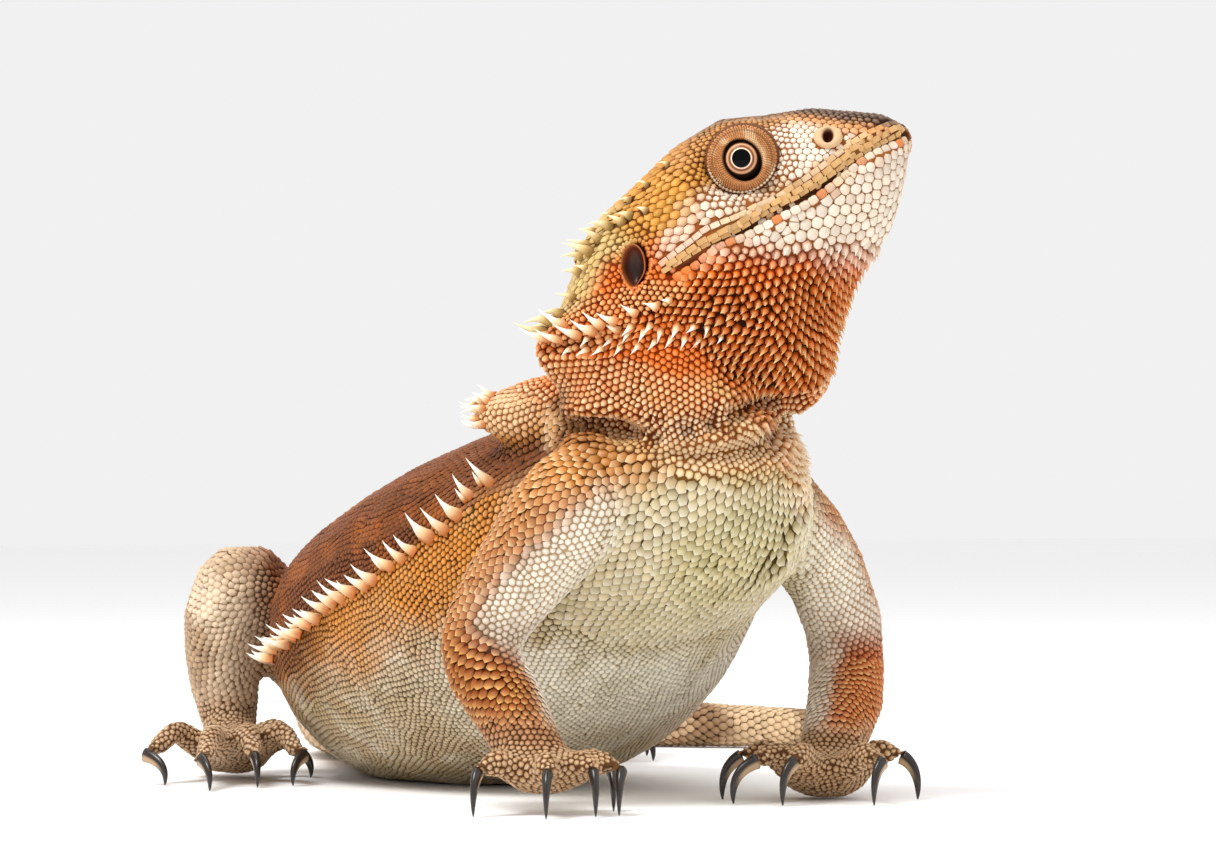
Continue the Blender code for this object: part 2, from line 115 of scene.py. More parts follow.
def trianglesOf(piece):
    piece.data.calc_loop_triangles()
    flat = np.empty(len(piece.data.loop_triangles) * 3, dtype=np.int32)
    piece.data.loop_triangles.foreach_get("vertices", flat)
    return flat.reshape(-1, 3)


def unit(vectors):
    vectors = np.asarray(vectors, dtype=float)
    return vectors / np.maximum(np.linalg.norm(vectors, axis=-1, keepdims=True), 1e-12)


def mix(first, second, share):
    # share may be one number, or one for each point where first and second are vectors or colours
    first, second, share = (np.asarray(value, dtype=float) for value in (first, second, share))
    if share.ndim and max(first.ndim, second.ndim) > share.ndim or share.ndim == 1 and first.shape == (3,):
        share = share[..., None]
    return first * (1 - share) + second * share


def alongSurface(vectors, out):
    # the same directions, laid flat on a surface that faces out
    return unit(vectors - out * (vectors * out).sum(1)[:, None])


def ramp(value, low, high):
    # 0 below low, 1 above high, and smooth between
    t = np.clip((value - low) / (high - low), 0, 1)
    return t * t * (3 - 2 * t)


def fromScreen(shade):
    value = np.array(shade) / 255
    return np.where(value <= 0.04045, value / 12.92, ((value + 0.055) / 1.055) ** 2.4)


def wobble(points, size, seed=0):
    # smooth random values between -1 and 1, which change over a distance of size in mm
    spot = points / (size * mm) + seed * 17.3
    cell = np.floor(spot)
    part = spot - cell
    part = part * part * (3 - 2 * part)
    total = np.zeros(len(points))
    for corner in range(8):
        step = np.array([corner & 1, (corner >> 1) & 1, (corner >> 2) & 1])
        share = np.prod(np.where(step, part, 1 - part), axis=1)
        value = np.abs(np.sin((cell + step) @ np.array([12.9898, 78.233, 37.719])) * 43758.5453)
        total += share * np.modf(value)[0]
    return total * 2 - 1


def polylineDistance(points, line):
    best = np.full(len(points), 1e9)
    for start, end in zip(line, line[1:]):
        run = end - start
        share = np.clip(((points - start) @ run) / max(run @ run, 1e-12), 0, 1)
        best = np.minimum(best, np.linalg.norm(points - start - share[:, None] * run, axis=1))
    return best


def curveThrough(points, steps=8):
    # a smooth line through given points
    points = [np.asarray(point, dtype=float) for point in points]
    line = []
    for k in range(len(points) - 1):
        a, b, c, d = (points[min(max(k + j, 0), len(points) - 1)] for j in (-1, 0, 1, 2))
        for step in range(steps):
            t = step / steps
            line.append(0.5 * (2 * b + (c - a) * t + (2 * a - 5 * b + 4 * c - d) * t * t
                               + (3 * b - a - 3 * c + d) * t ** 3))
    return line + [points[-1]]


def middleOf(node):
    low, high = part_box(node)
    return np.array((low + high) / 2)


# The head and the body each have a seat, and places are given in mm from it. On the head a point is a ahead,
# s aside and n above; on the body it is x, y and z.
head = {"yaw": 55, "pitch": 31, "eyeForward": 30.5, "eyeUp": 6.3}  # degrees, and mm from the seat
yaw, pitch = math.radians(head["yaw"]), math.radians(head["pitch"])
headForward = np.array([math.sin(yaw) * math.cos(pitch), -math.cos(yaw) * math.cos(pitch), math.sin(pitch)])
headSide = np.array([math.cos(yaw), math.sin(yaw), 0])
headUp = np.cross(headForward, headSide)
eyesMiddle = (middleOf("eye_left") + middleOf("eye_right")) / 2
headSeat = eyesMiddle - (headForward * head["eyeForward"] + headUp * head["eyeUp"]) * mm
bodySeat = headSeat - np.array([-11.7, 3.3, 88]) * mm  # a point on the floor under the shoulders


def atHead(forward, side, up):
    return headSeat + (headForward * forward + headSide * side + headUp * up) * mm


def atBody(x, y, z):
    return bodySeat + np.array([x, y, z]) * mm


def inHead(points):
    away = (points - headSeat) / mm
    return np.stack([away @ headForward, away @ headSide, away @ headUp], axis=1)


def inBody(points):
    return (points - bodySeat) / mm


# The groups of nodes that differ in their scales and colours: 0 is the head, 1 the neck, 2 the trunk, 3 the
# arms, 4 the hands, 5 the legs, 6 the feet and 7 the tail.
fleshNodes = sorted(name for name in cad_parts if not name.startswith(("eye", "claw")))
groups = [("head", "lower_jaw", "beard"), ("neck",), ("trunk", "hips"), ("upper_arm", "forearm"), ("hand",),
          ("thigh", "shank"), ("foot",), ("tail",)]
groupOf = {name: number for name in fleshNodes for number, starts in enumerate(groups)
           if name.startswith(starts)}

# How far the skin swells and lies under the outside of the flesh, and its grain, in mm; rounds of smoothing;
# share of the faces that is kept.
skinMake = {"grow": 0.25, "under": 0.35, "grain": 0.8, "soften": 7, "keep": 0.62}


def modelSkin():
    copies = []
    for name in fleshNodes:
        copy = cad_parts[name].copy()
        copy.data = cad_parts[name].data.copy()
        copy.parent = None
        copy.matrix_world = Matrix.Identity(4)
        bpy.context.scene.collection.objects.link(copy)
        copy.hide_render = False
        copies.append(copy)
    deselect()
    for copy in copies:
        copy.select_set(True)
    bpy.context.view_layer.objects.active = copies[0]
    bpy.ops.object.join()
    skin = bpy.context.view_layer.objects.active
    skin.name = "skin"
    skin.data.materials.clear()
    editOn(skin)
    bpy.ops.mesh.select_all(action="SELECT")
    bpy.ops.mesh.remove_doubles(threshold=0.000002)
    editOff()
    for layer in list(skin.data.uv_layers):
        skin.data.uv_layers.remove(layer)
    bakeModifier(skin, "DISPLACE", strength=skinMake["grow"] * mm, mid_level=0)
    bakeModifier(skin, "REMESH", mode="VOXEL", voxel_size=skinMake["grain"] * mm)
    bakeModifier(skin, "SMOOTH", factor=0.5, iterations=skinMake["soften"])
    bakeModifier(skin, "DISPLACE", strength=-(skinMake["grow"] + skinMake["under"]) * mm, mid_level=0)
    bakeModifier(skin, "DECIMATE", ratio=skinMake["keep"], use_collapse_triangulate=True)
    return skin


skin = modelSkin()
print("skin:", len(skin.data.vertices), "points")

# The lines of the folds, in mm from the seat of the head or of the body.
mouthLine = [(55.8, -2, -3.4), (52, -6, -3.5), (47.6, -9.5, -3.6), (38.1, -13.6, -4.9), (30.7, -16.2, -4.8),
             (25, -18, -4.8), (20, -19.3, -4.2), (17.6, -20.3, -4.5), (11.5, -22.2, -5.1)]
beardFold = [(-15, -15.6, -17.7), (-11.6, -17.4, -20.4), (-8.2, -19, -23.1), (-4.9, -21.3, -25.9),
             (-1.2, -21.9, -28), (2.4, -20.6, -29.4), (6.6, -17.9, -30.2), (10.5, -12.8, -29.9),
             (13.9, -6.3, -30.3), (17.5, -3, -31)]
jowlCrease = [(-14, -20, -4), (-9, -21.5, -6), (-4, -22.5, -8.5), (1, -22.5, -9.5)]
throatRoll = [(-21.3, 0.7, 63.8), (-22.9, -8.8, 64.2), (-18, -17.3, 62.2), (-15.2, -21.1, 60),
              (-10.2, -23.5, 59.3), (-3.3, -23.7, 60), (3.4, -21.2, 61.2), (7.5, -18.6, 63.2),
              (11.3, -14.2, 65.5)]
shoulderCrease = [(15.1, -13, 50.4), (12.1, -14.2, 46.8), (10.5, -10, 39.5)]

# Each line with its width and depth in mm, and how much painted shade lies along it; the mouth has its own
# painted shade.
headFolds = [(mouthLine, 0.75, 0.9, 0), (beardFold, 1.5, 2.4, 0.4), (jowlCrease, 1.3, 0.9, 0.75)]
bodyFolds = [(throatRoll, 1.7, 2.2, 0.4), (shoulderCrease, 1.5, 1.5, 0.4)]


def headLine(side, line, rise=0):
    return [atHead(a, -side * s, n + rise) for a, s, n in line]


folds = [(headLine(side, line), *fold) for side in (-1, 1) for line, *fold in headFolds]
folds += [([atBody(*point) for point in line], *fold) for line, *fold in bodyFolds]


def onSkin(surface, line):
    # the line drawn smooth, and laid on the surface
    return np.array([surface.find_nearest(point)[0] for point in curveThrough(line, 6)])


def sculptFolds(skin):
    places = vertsOf(skin)
    outward = normalsOf(skin)
    push = np.zeros(len(places))
    surface = BVHTree.FromPolygons(places.tolist(), trianglesOf(skin).tolist())
    for line, width, depth, _ in folds:
        away = polylineDistance(places, onSkin(surface, line)) / (width * mm)
        push -= depth * np.exp(-away ** 2)
        push += 0.35 * depth * np.exp(-((away - 2) / 0.9) ** 2)
    putVerts(skin, places + outward * (push * mm)[:, None])


sculptFolds(skin)
print("folds:", len(folds), "skin:", len(skin.data.polygons), "faces")

# Where the eyes, ears and nostrils are: ahead, aside and above of the seat in mm; how they lean ahead and up;
# which way their long side runs; and the pit that is made for them: half width, half height and depth in mm.
openings = {
    "eye": {"place": (head["eyeForward"], 11.6, head["eyeUp"]), "lean": (0.10, -0.05)},
    "ear": {"place": (6.7, 22.0, -0.6), "lean": (-0.30, 0.10), "tall": (0.56, 0.83),
            "pit": (2.0, 3.4, 1.6)},
    "nostril": {"place": (44.9, 11.2, 2.2), "lean": (0.30, 0.42), "tall": (0.5, 0.86),
                "pit": (1.2, 1.4, 1.7)},
}
lidSeat = {"wide": 6.4, "tall": 5.95, "down": -0.1, "out": 1.1}  # the level oval that the lids lie on, in mm


def openingAxes(name, side):
    # the middle of an eye, ear or nostril, and its three axes: along, down or up, and out of the head
    make = openings[name]
    ahead, aside, above = make["place"]
    middle = atHead(ahead, side * aside, above)
    out = unit(headSide * side + headForward * make["lean"][0] + headUp * make["lean"][1])
    if name == "eye":
        along = unit(headForward - out * (headForward @ out))
        return middle, np.stack([along, np.cross(out, along) * side, out])
    tall = unit(headForward * make["tall"][0] + headUp * make["tall"][1])
    tall = unit(tall - out * (tall @ out))
    return middle, np.stack([np.cross(tall, out) * side, tall, out])


def sculptPits(skin):
    # room for the ear and nostril pieces, and a level ring for the lids to lie on
    places = vertsOf(skin)
    for side in (-1, 1):
        for name in ("ear", "nostril"):
            wide, tall, depth = openings[name]["pit"]
            place, axes = openingAxes(name, side)
            away = (places - place) / mm @ axes.T
            reach = np.hypot(away[:, 0] / wide, away[:, 1] / tall)
            sink = depth * ramp(-reach, -1.25, -0.8) * (np.abs(away[:, 2]) < 5)
            places = places - axes[2] * (sink * mm)[:, None]
        place, axes = openingAxes("eye", side)
        away = (places - place) / mm @ axes.T
        reach = np.hypot(away[:, 0] / lidSeat["wide"], (away[:, 1] - lidSeat["down"]) / lidSeat["tall"])
        inside = ramp(-reach, -1.22, -0.97) * (away[:, 2] > -4)
        over = away[:, 2] - lidSeat["out"]
        level = np.where(over > 0, over, np.minimum(away[:, 2] - 0.3, 0) * 0.5)
        places = places - axes[2] * (inside * level * mm)[:, None]
    putVerts(skin, places)


sculptPits(skin)

# The skin as arrays, and from here on values for each of its points.
skinAt = vertsOf(skin)
skinOut = normalsOf(skin)
skinFaces = trianglesOf(skin)
skinTree = BVHTree.FromPolygons(skinAt.tolist(), skinFaces.tolist())
edgePairs = np.empty(len(skin.data.edges) * 2, dtype=np.int32)
skin.data.edges.foreach_get("vertices", edgePairs)
edgePairs = edgePairs.reshape(-1, 2)
edgeBoth = np.concatenate([edgePairs, edgePairs[:, ::-1]])
edgeBoth = edgeBoth[np.argsort(edgeBoth[:, 0], kind="stable")]
neighbourCount = np.bincount(edgeBoth[:, 0], minlength=len(skinAt)).astype(float)


def spread(values, rounds, share=0.5):
    # evens values out between neighbouring points of the skin
    values = np.array(values, dtype=float)
    flat = values.reshape(len(values), -1)
    for _ in range(rounds):
        for column in range(flat.shape[1]):
            total = np.bincount(edgeBoth[:, 0], weights=flat[edgeBoth[:, 1], column], minlength=len(flat))
            flat[:, column] = flat[:, column] * (1 - share) + share * total / np.maximum(neighbourCount, 1)
    return flat.reshape(values.shape)


def nodesNear(points):
    corners, faces, owner = [], [], []
    for number, name in enumerate(fleshNodes):
        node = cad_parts[name]
        places = vertsOf(node)
        faces += (trianglesOf(node) + len(corners)).tolist()
        owner += [number] * (len(faces) - len(owner))
        corners += places.tolist()
    tree = BVHTree.FromPolygons(corners, faces)
    return np.array([owner[tree.find_nearest(point)[2]] for point in points.tolist()])


skinNode = nodesNear(skinAt)
skinGroup = np.array([groupOf[name] for name in fleshNodes])[skinNode]


def pathFromSnout():
    # how far each point is from the snout along the skin, in metres
    starts = np.searchsorted(edgeBoth[:, 0], np.arange(len(skinAt) + 1))
    other = edgeBoth[:, 1]
    lengths = np.linalg.norm(skinAt[edgeBoth[:, 0]] - skinAt[other], axis=1).tolist()
    starts, other = starts.tolist(), other.tolist()
    far = [1e9] * len(skinAt)
    snout = int(np.argmin(np.linalg.norm(skinAt - atHead(56, 0, -1), axis=1)))
    far[snout] = 0.0
    queue = [(0.0, snout)]
    while queue:
        reach, here = heapq.heappop(queue)
        if reach > far[here]:
            continue
        for k in range(starts[here], starts[here + 1]):
            longer = reach + lengths[k]
            if longer < far[other[k]]:
                far[other[k]] = longer
                heapq.heappush(queue, (longer, other[k]))
    return np.array(far)


def flowOverSkin():
    # scales lie away from the snout
    far = spread(np.minimum(pathFromSnout(), 1.0), 30)
    start, end = edgeBoth[:, 0], edgeBoth[:, 1]
    run = skinAt[end] - skinAt[start]
    rate = (far[end] - far[start]) / np.maximum((run ** 2).sum(1), 1e-12)
    flow = [np.bincount(start, weights=rate * run[:, k], minlength=len(skinAt)) for k in range(3)]
    flow = spread(unit(np.stack(flow, axis=1)), 10)
    return alongSurface(flow, skinOut)


skinFlow = flowOverSkin()
print("flow done")

# Half width and half height in mm of the openings, and of the ovals that no scale stands in.
openingEdge = {"eye": (6.3, 5.9), "ear": (2.3, 3.8), "nostril": (2.5, 2.1)}
openingClear = {"eye": (6.15, 5.75), "ear": (2.3, 3.75), "nostril": (2.45, 2.05)}


def reachFrom(name, points, ovals):
    # how far points lie from the middle of the nearer eye, ear or nostril, 1 on its oval
    wide, tall = ovals[name]
    down = lidSeat["down"] if name == "eye" else 0
    reaches = []
    for side in (-1, 1):
        place, axes = openingAxes(name, side)
        away = (points - place) / mm @ axes.T
        reach = np.hypot(away[:, 0] / wide, (away[:, 1] - down) / tall)
        reaches.append(np.where(away[:, 2] > -4, reach, 99))
    return np.minimum(*reaches)


# The row of spines along the right flank, in mm from the body's seat.
flankLine = [(-30.5, 16.9, 55.1), (-33.8, 20.9, 50.3), (-35.1, 23.4, 47.9), (-38.9, 32.2, 42.2),
             (-42.1, 44.4, 36.3), (-43.7, 58.8, 32), (-43.1, 74.2, 26.4), (-41.1, 87.6, 24),
             (-40.1, 92.1, 22)]


def aboveFlank(b):
    # how far above the row of spines along each flank, in mm
    line = np.array(flankLine)[:, 1:]
    return b[:, 2] - np.interp(b[:, 1], line[:, 0], line[:, 1])


def lipHeight(h):
    # how far above the line of the mouth, in mm
    line = np.array(mouthLine)[::-1]
    return h[:, 2] - np.interp(h[:, 0], line[:, 0], line[:, 2])


def overLines(h):
    # how far points of the head lie above the slanted edge of the beard, the jowl and the bridge of the snout
    a, n = h[:, 0], h[:, 2]
    return n + 0.56 * (a - 26) + 8.5, n + 4.5 + 0.28 * a, n + 0.8 * (a - 41.2)


def sizeField():
    # distance between scales, in mm
    h, b = inHead(skinAt), inBody(skinAt)
    a, n = h[:, 0], h[:, 2]
    overBeard, overJowl, _ = overLines(h)
    lip = lipHeight(h)
    cheek = mix(1.5, 1.95, ramp(-n, 3, 7))
    cheek = mix(cheek, 1.25, ramp(n + 0.35 * (a - 40), 3.5, 6.5))
    cheek = np.where((a < 26) & (n > -4), mix(1.7, 1.45, ramp(-a, -8, 2)), cheek)
    cheek = mix(cheek, mix(1.45, 1.6, ramp(-n, 8, 18)), ramp(-overBeard, -1, 2) * ramp(-n, 4.5, 7))
    cheek = mix(cheek, 1.1, ramp(-np.abs(overJowl), -4.2, -2.2) * ramp(-a, -16, -9))
    cheek = np.where(lip > -1.6, mix(cheek, 1.45, ramp(a, 18, 22) * ramp(-lip, -3.6, -3.2)), cheek)
    for name, finest, end in (("eye", 0.95, 1.7), ("ear", 0.85, 2.4), ("nostril", 0.95, 2.2)):
        cheek = mix(finest, cheek, ramp(reachFrom(name, skinAt, openingEdge), 1.0, end))
    size = np.where(skinGroup == 0, cheek, 1.2)
    size = np.where(pouchShare(b) * (skinGroup < 2) > 0.5, 1.2, size)
    chest = mix(1.2, 1.75, ramp(-b[:, 1], -18, -2) * ramp(b[:, 2], 20, 34))
    chest = mix(chest, 1.5, ramp(skinOut[:, 2], 0.3, 0.7))
    chest = mix(chest, 1.2, ramp(b[:, 2], 60, 63))
    size = np.where(skinGroup == 2, chest, size)
    outer = np.where(np.char.startswith(np.array(fleshNodes)[skinNode], "forearm"), 1.85, 1.6)
    size = np.where(skinGroup == 3, mix(outer, 1.25, innerArm(b, skinOut)), size)
    for group, one in ((4, 1.15), (5, 1.4), (6, 1.1), (7, 1.7 - 0.6 * ramp(b[:, 0], 60, 140))):
        size = np.where(skinGroup == group, one, size)
    return spread(size, 8)


def pouchShare(b):
    # 1 on the fine-scaled pouch of skin behind and under the beard
    x = 2 - np.abs(b[:, 0] - 2)
    top = np.interp(x, [-19.5, -4], [75.5, 69.3])
    bottom = np.interp(x, [-20.5, -13, -4, 2], [62.5, 61.5, 65.5, 68])
    return ramp(top - b[:, 2], -0.6, 0.6) * ramp(b[:, 2] - bottom, -0.8, 0.5)


def innerArm(b, out):
    # 1 on the pale inner side of the arms
    outward = np.where(b[:, 0] < 0, -out[:, 0], out[:, 0] - 0.2)
    return ramp(-(outward + 0.9 * out[:, 2] + 0.02 * (b[:, 2] - 44)), -0.9, -0.1)


skinSize = sizeField()
skinLean = unit(spread(skinOut, 3))  # smoother than the skin, for the scales to stand on

# Colours, given as they look on a screen: of the scales, of their tips and of the seams between them.
tones = {
    "jaw": ((238, 220, 196), (255, 252, 246), (170, 98, 42)),
    "lip": ((210, 160, 100), (240, 212, 166), (142, 86, 40)),
    "crown": ((104, 78, 62), (180, 154, 132), (48, 32, 25)),
    "snoutTan": ((214, 146, 86), (244, 208, 162), (126, 68, 34)),
    "brow": ((194, 130, 62), (248, 214, 160), (96, 50, 20)),
    "gold": ((202, 136, 50), (246, 208, 126), (108, 52, 14)),
    "nape": ((204, 170, 104), (246, 230, 184), (120, 82, 36)),
    "ember": ((226, 102, 6), (255, 216, 152), (136, 44, 2)),
    "beard": ((212, 96, 8), (255, 226, 160), (52, 15, 2)),
    "pouch": ((214, 128, 44), (252, 234, 196), (116, 42, 4)),
    "umber": ((132, 78, 42), (206, 162, 116), (66, 34, 14)),
    "fold": ((236, 188, 120), (254, 238, 200), (124, 76, 30)),
    "shoulder": ((206, 126, 36), (252, 228, 180), (92, 46, 10)),
    "chest": ((216, 198, 154), (255, 251, 238), (106, 80, 34)),
    "olive": ((190, 174, 116), (246, 240, 210), (100, 82, 32)),
    "belly": ((252, 246, 228), (255, 253, 248), (196, 176, 136)),
    "flank": ((208, 128, 38), (254, 222, 164), (88, 42, 6)),
    "haunch": ((126, 72, 18), (162, 100, 44), (54, 24, 5)),
    # the colour of the lower flank, darkened as painted shade near the floor
    "lowFlankAndShade": ((188, 162, 122), (240, 224, 194), (84, 60, 32)),
    "back": ((116, 62, 26), (166, 104, 58), (52, 24, 10)),
    "arm": ((174, 98, 34), (252, 218, 164), (72, 34, 12)),
    "inner": ((248, 240, 222), (255, 253, 246), (204, 172, 130)),
    "forearm": ((140, 60, 4), (246, 190, 110), (56, 20, 4)),
    "hand": ((198, 156, 112), (248, 232, 206), (104, 66, 36)),
    "leg": ((188, 154, 120), (228, 206, 176), (92, 66, 44)),
    "legPale": ((240, 214, 182), (252, 238, 216), (150, 114, 78)),
    "tail": ((220, 186, 144), (244, 220, 188), (118, 86, 54)),
    "tailDark": ((126, 88, 56), (168, 130, 92), (70, 44, 26)),
    "cream": ((240, 204, 154), (255, 248, 230), (172, 100, 44)),
    "spike": ((246, 208, 156), (255, 248, 234), (198, 104, 38)),
    "rust": ((204, 108, 30), (234, 160, 84), (130, 54, 12)),
    # the dark brown of blotches on the back, and painted shade along the folds and under the neck fold
    "darkBlotchAndShade": ((92, 48, 22), (150, 92, 50), (44, 20, 8)),
}
toneBoost = 0.86  # how bright the scales are beside the values above
bareSkin = {"share": 0.85, "mouth": (64, 34, 18)}  # beside the seams' colours, and the painted shade along the mouth's slit


def blob(points, centre, radii):
    # 1 at the centre of an ellipsoid patch, 0 outside it
    away = np.linalg.norm((points - np.array(centre)) / np.array(radii), axis=1)
    return ramp(-away, -1.25, -0.75)


# Patches on the shoulders and the throat: tone, share, middle and radii in mm from the body's seat. The dark
# patch is painted shade under the fold at the right of the neck.
bodyPatches = [
    ("shoulder", 0.9, (-27, 14, 66), (9, 9, 5)), ("shoulder", 0.9, (13, 26, 64), (6, 8, 6)),
    ("darkBlotchAndShade", 0.45, (-27, 10, 59.5), (8, 9, 3)), ("cream", 0.75, (-27, 14, 67), (8, 8, 4)),
    ("cream", 1, (14, -9, 59), (8, 11, 9)), ("cream", 0.8, (-2, -22, 61), (15, 9, 4.5)),
]


def paint():
    # three colours for each point of the skin: of the scales, of their tips and of the seams between them
    h, b = inHead(skinAt), inBody(skinAt)
    a, n = h[:, 0], h[:, 2]
    x, y, z = b.T
    overBeard, _, overSnout = overLines(h)
    lip, flank, pouch = lipHeight(h), aboveFlank(b), pouchShare(b)
    sideOut, rearOut, topOut = skinOut.T
    grain = wobble(skinAt, 5, 1) * 0.6 + wobble(skinAt, 2.4, 2) * 0.4
    layers = np.zeros((3, len(skinAt), 3))

    def lay(where, tone, share=1.0):
        share = np.where(where, share, 0.0)[:, None]
        for layer, shade in zip(layers, tones[tone]):
            layer[:] = layer * (1 - share) + fromScreen(shade) * share

    headPart, neckPart, trunkPart, armPart, handPart, legPart, footPart, tailPart = (
        skinGroup == k for k in range(len(groups)))
    lay(skinGroup >= 0, "belly")

    # head, from the beard upwards
    lay(headPart, "beard")
    lay(headPart, "ember", ramp(n + 0.5 * a + 2 * grain, -3.5, 0.5))
    lay(headPart, "ember", 0.8 * ramp(-a + 1.2 * grain, -7, -1))
    lay(skinGroup < 2, "pouch", pouch)
    lay(skinGroup < 2, "ember", 0.6 * pouch * ramp(grain + 0.1 * (z - 68), 0.1, 0.5))
    lay(headPart, "gold", ramp(n + 0.12 * a + 1.4 * grain, 1.2, 4.5))
    lay(headPart, "nape", ramp(n + 1.2 * grain, 0.5, 4) * ramp(-a + grain, -11, -5))
    lay(headPart, "nape", ramp(-a + 0.8 * n + 2 * grain, -2, 3) * ramp(n, -3, 0))
    front = ramp(overBeard + 2.4 * grain, -4.2, 2.2) * ramp(a + 1.5 * grain, 17, 23)
    lay(headPart, "jaw", front * ramp(-(n - 0.05 * a), -4.5, -1.5))
    lay(headPart, "jaw", 0.65 * blob(h * [1, 0, 1], (17, 0, -1.5), (6, 9, 3.5)))
    lay(headPart, "jaw", ramp(a, 31, 35) * ramp(-overSnout, -8.5, -6.5) * ramp(n, -20, -12))
    lay(headPart, "lip", ramp(lip, 0.0, 0.3) * ramp(-lip, -3.4, -2.7) * ramp(a, 20, 24))
    blotches = ramp(wobble(skinAt, 3.2, 5), 0.15, 0.3)
    lay(headPart, "lip", 0.75 * ramp(-lip, 0.2, 0.5) * ramp(lip, -2.2, -1.8) * blotches * ramp(a, 20, 24))
    blotches = ramp(wobble(skinAt, 1.8, 31), 0.38, 0.55)
    lay(headPart, "rust", 0.9 * front * blotches * ramp(-lip, 0.4, 1) * ramp(lip, -6, -3))
    lay(headPart, "brow", ramp(n - 0.08 * (30 - a) + grain, 7.8, 9.6) * ramp(a, 16, 22) * ramp(-a, -43, -38))
    lay(headPart, "snoutTan", ramp(overSnout + 1.4 * grain, 6.4, 7.6) * ramp(a, 36, 40))
    lay(headPart, "crown", ramp(overSnout + 1.2 * grain, 8.2, 10.2) * ramp(a, 37, 41))
    middle = ramp(-np.abs(h[:, 1]) + 3 * grain, -11, -5)
    lay(headPart, "crown", 0.75 * middle * ramp(n, 8, 10) * ramp(a, 12, 30))

    # neck: the pouch, the roll under it, and brown behind
    lay(neckPart, "fold")
    lay(neckPart, "ember", ramp(z + 2 * grain, 70, 74))
    lay(neckPart, "pouch", pouch)
    lay(neckPart, "ember", 0.55 * pouch * ramp(grain + 0.1 * (z - 68), 0.1, 0.5))
    lay(neckPart, "umber", ramp(y + 2 * grain, -9, -4))
    lay(neckPart, "olive", 0.7 * ramp(-z, -59, -55))

    # trunk: rust-brown back, ochre flanks fading to grey-green, darker low down as painted shade near the
    # floor, pale chest
    lay(trunkPart, "lowFlankAndShade")
    lay(trunkPart, "belly", ramp(-topOut + 0.1 * grain, 0.25, 0.6) * ramp(-y + 8 * grain, -46, -14))
    lay(trunkPart, "belly", 0.35 * ramp(wobble(skinAt, 3, 33), 0.0, 0.5) * (topOut < 0.2))
    sideways = np.maximum(ramp(-sideOut, 0.1, 0.5), ramp(sideOut + 0.1 * y, 0.8, 1.6))
    lay(trunkPart, "flank", ramp(z + 0.16 * y + 9 * grain, 26, 41) * sideways)
    lay(trunkPart, "haunch", ramp(y + 10 * grain, 56, 74) * ramp(topOut, -0.55, -0.2))
    lay(trunkPart, "chest", ramp(-y + 0.6 * x * (x > 0) + 4 * grain, -15, -5) * (topOut < 0.5))
    lay(trunkPart, "olive", 0.75 * blob(b, (2, -16, 42), (14, 14, 11)))
    lay(trunkPart, "olive", 0.6 * ramp(grain, 0.15, 0.5) * ramp(-y, -30, -12) * (topOut < 0.3))
    lay(trunkPart, "shoulder", ramp(z - 0.6 * x + 3 * grain, 63, 69) * (x < 4) * ramp(-y, -10, 0))
    lay(trunkPart, "back", ramp(flank + 0.8 * grain, 0.4, 1.6) * ramp(y, 4, 12))
    # rust and dark brown blotches on the back, in the tone that also paints shade in the folds
    for tone, share, size, seed, low, high in (
            ("rust", 0.35, 4, 11, 0.1, 0.5), ("darkBlotchAndShade", 0.6, 3, 12, 0.2, 0.6)):
        blotches = ramp(wobble(skinAt, size, seed), low, high)
        lay(trunkPart, tone, share * blotches * ramp(flank, 1, 3) * ramp(y, 4, 12))
    lay(trunkPart, "umber", ramp(topOut, 0.2, 0.5) * ramp(-y, -30, -20) * (z > 50))
    lay(trunkPart, "back", ramp(z, 52, 58) * ramp(y + 4 * grain, 2, 9) * ramp(flank, -1, 1))
    for tone, share, middle, radii in bodyPatches:
        lay(skinGroup < 3, tone, share * blob(b, middle, radii))

    # limbs and tail
    inner = ramp(innerArm(b, skinOut) + 0.25 * grain, 0.25, 1)
    lay(armPart, "arm")
    lay(armPart, "shoulder", 0.8 * ramp(z, 50, 56))
    lay(armPart, "forearm", ramp(-z + 2 * grain, -34, -28))
    # the left forearm is brighter orange than the right: painted light where the lamps leave it in shade
    lay(armPart, "ember", 0.55 * ramp(x, 4, 10) * ramp(-z + 2 * grain, -34, -22))
    lay(armPart, "inner", inner * ramp(z + 3 * grain, 24, 34))
    lay(armPart, "inner", 0.8 * inner * (np.where(x < 0, sideOut, -sideOut) > 0.5))
    lay(handPart, "hand")
    lay(handPart, "forearm", 0.6 * ramp(z + 2 * grain, 9, 13))
    lay(legPart | footPart, "leg")
    lay(legPart | footPart, "legPale", ramp(wobble(skinAt, 7, 8) + 0.4 * grain, -0.05, 0.35))
    lay(legPart, "legPale", 0.8 * ramp(-rearOut, 0.5, 0.85) * (z < 38))
    lay(legPart, "leg", 0.6 * ramp(z + 3 * grain, 33, 40))
    lay(footPart, "hand", 0.7)
    lay(tailPart, "tail")
    lay(tailPart, "tailDark", 0.8 * ramp(np.sin(x * 0.42 + y * 0.25) * 0.5 + 0.35 * grain, 0.0, 0.45))

    # painted shade along the folds, as strong as each fold's share
    for line, width, _, dark in folds:
        if dark:
            away = polylineDistance(skinAt, onSkin(skinTree, line)) / (width * mm)
            lay(skinGroup < 4, "darkBlotchAndShade", dark * np.exp(-(away * 1.6) ** 2))

    # where parts of the body meet, and all over the arms, the colours run into one another
    meets = skinGroup[edgeBoth[:, 0]] != skinGroup[edgeBoth[:, 1]]
    border = np.bincount(edgeBoth[:, 0], weights=meets, minlength=len(skinAt)) > 0
    soft = np.minimum(spread(border, 16) * 5, 1) * (skinGroup > 1)
    soft = np.maximum(soft, 0.45 * (skinGroup == 3))
    layers = [mix(layer, spread(layer, 30), soft) for layer in layers]
    return [spread(layer, 1) * toneBoost for layer in layers]


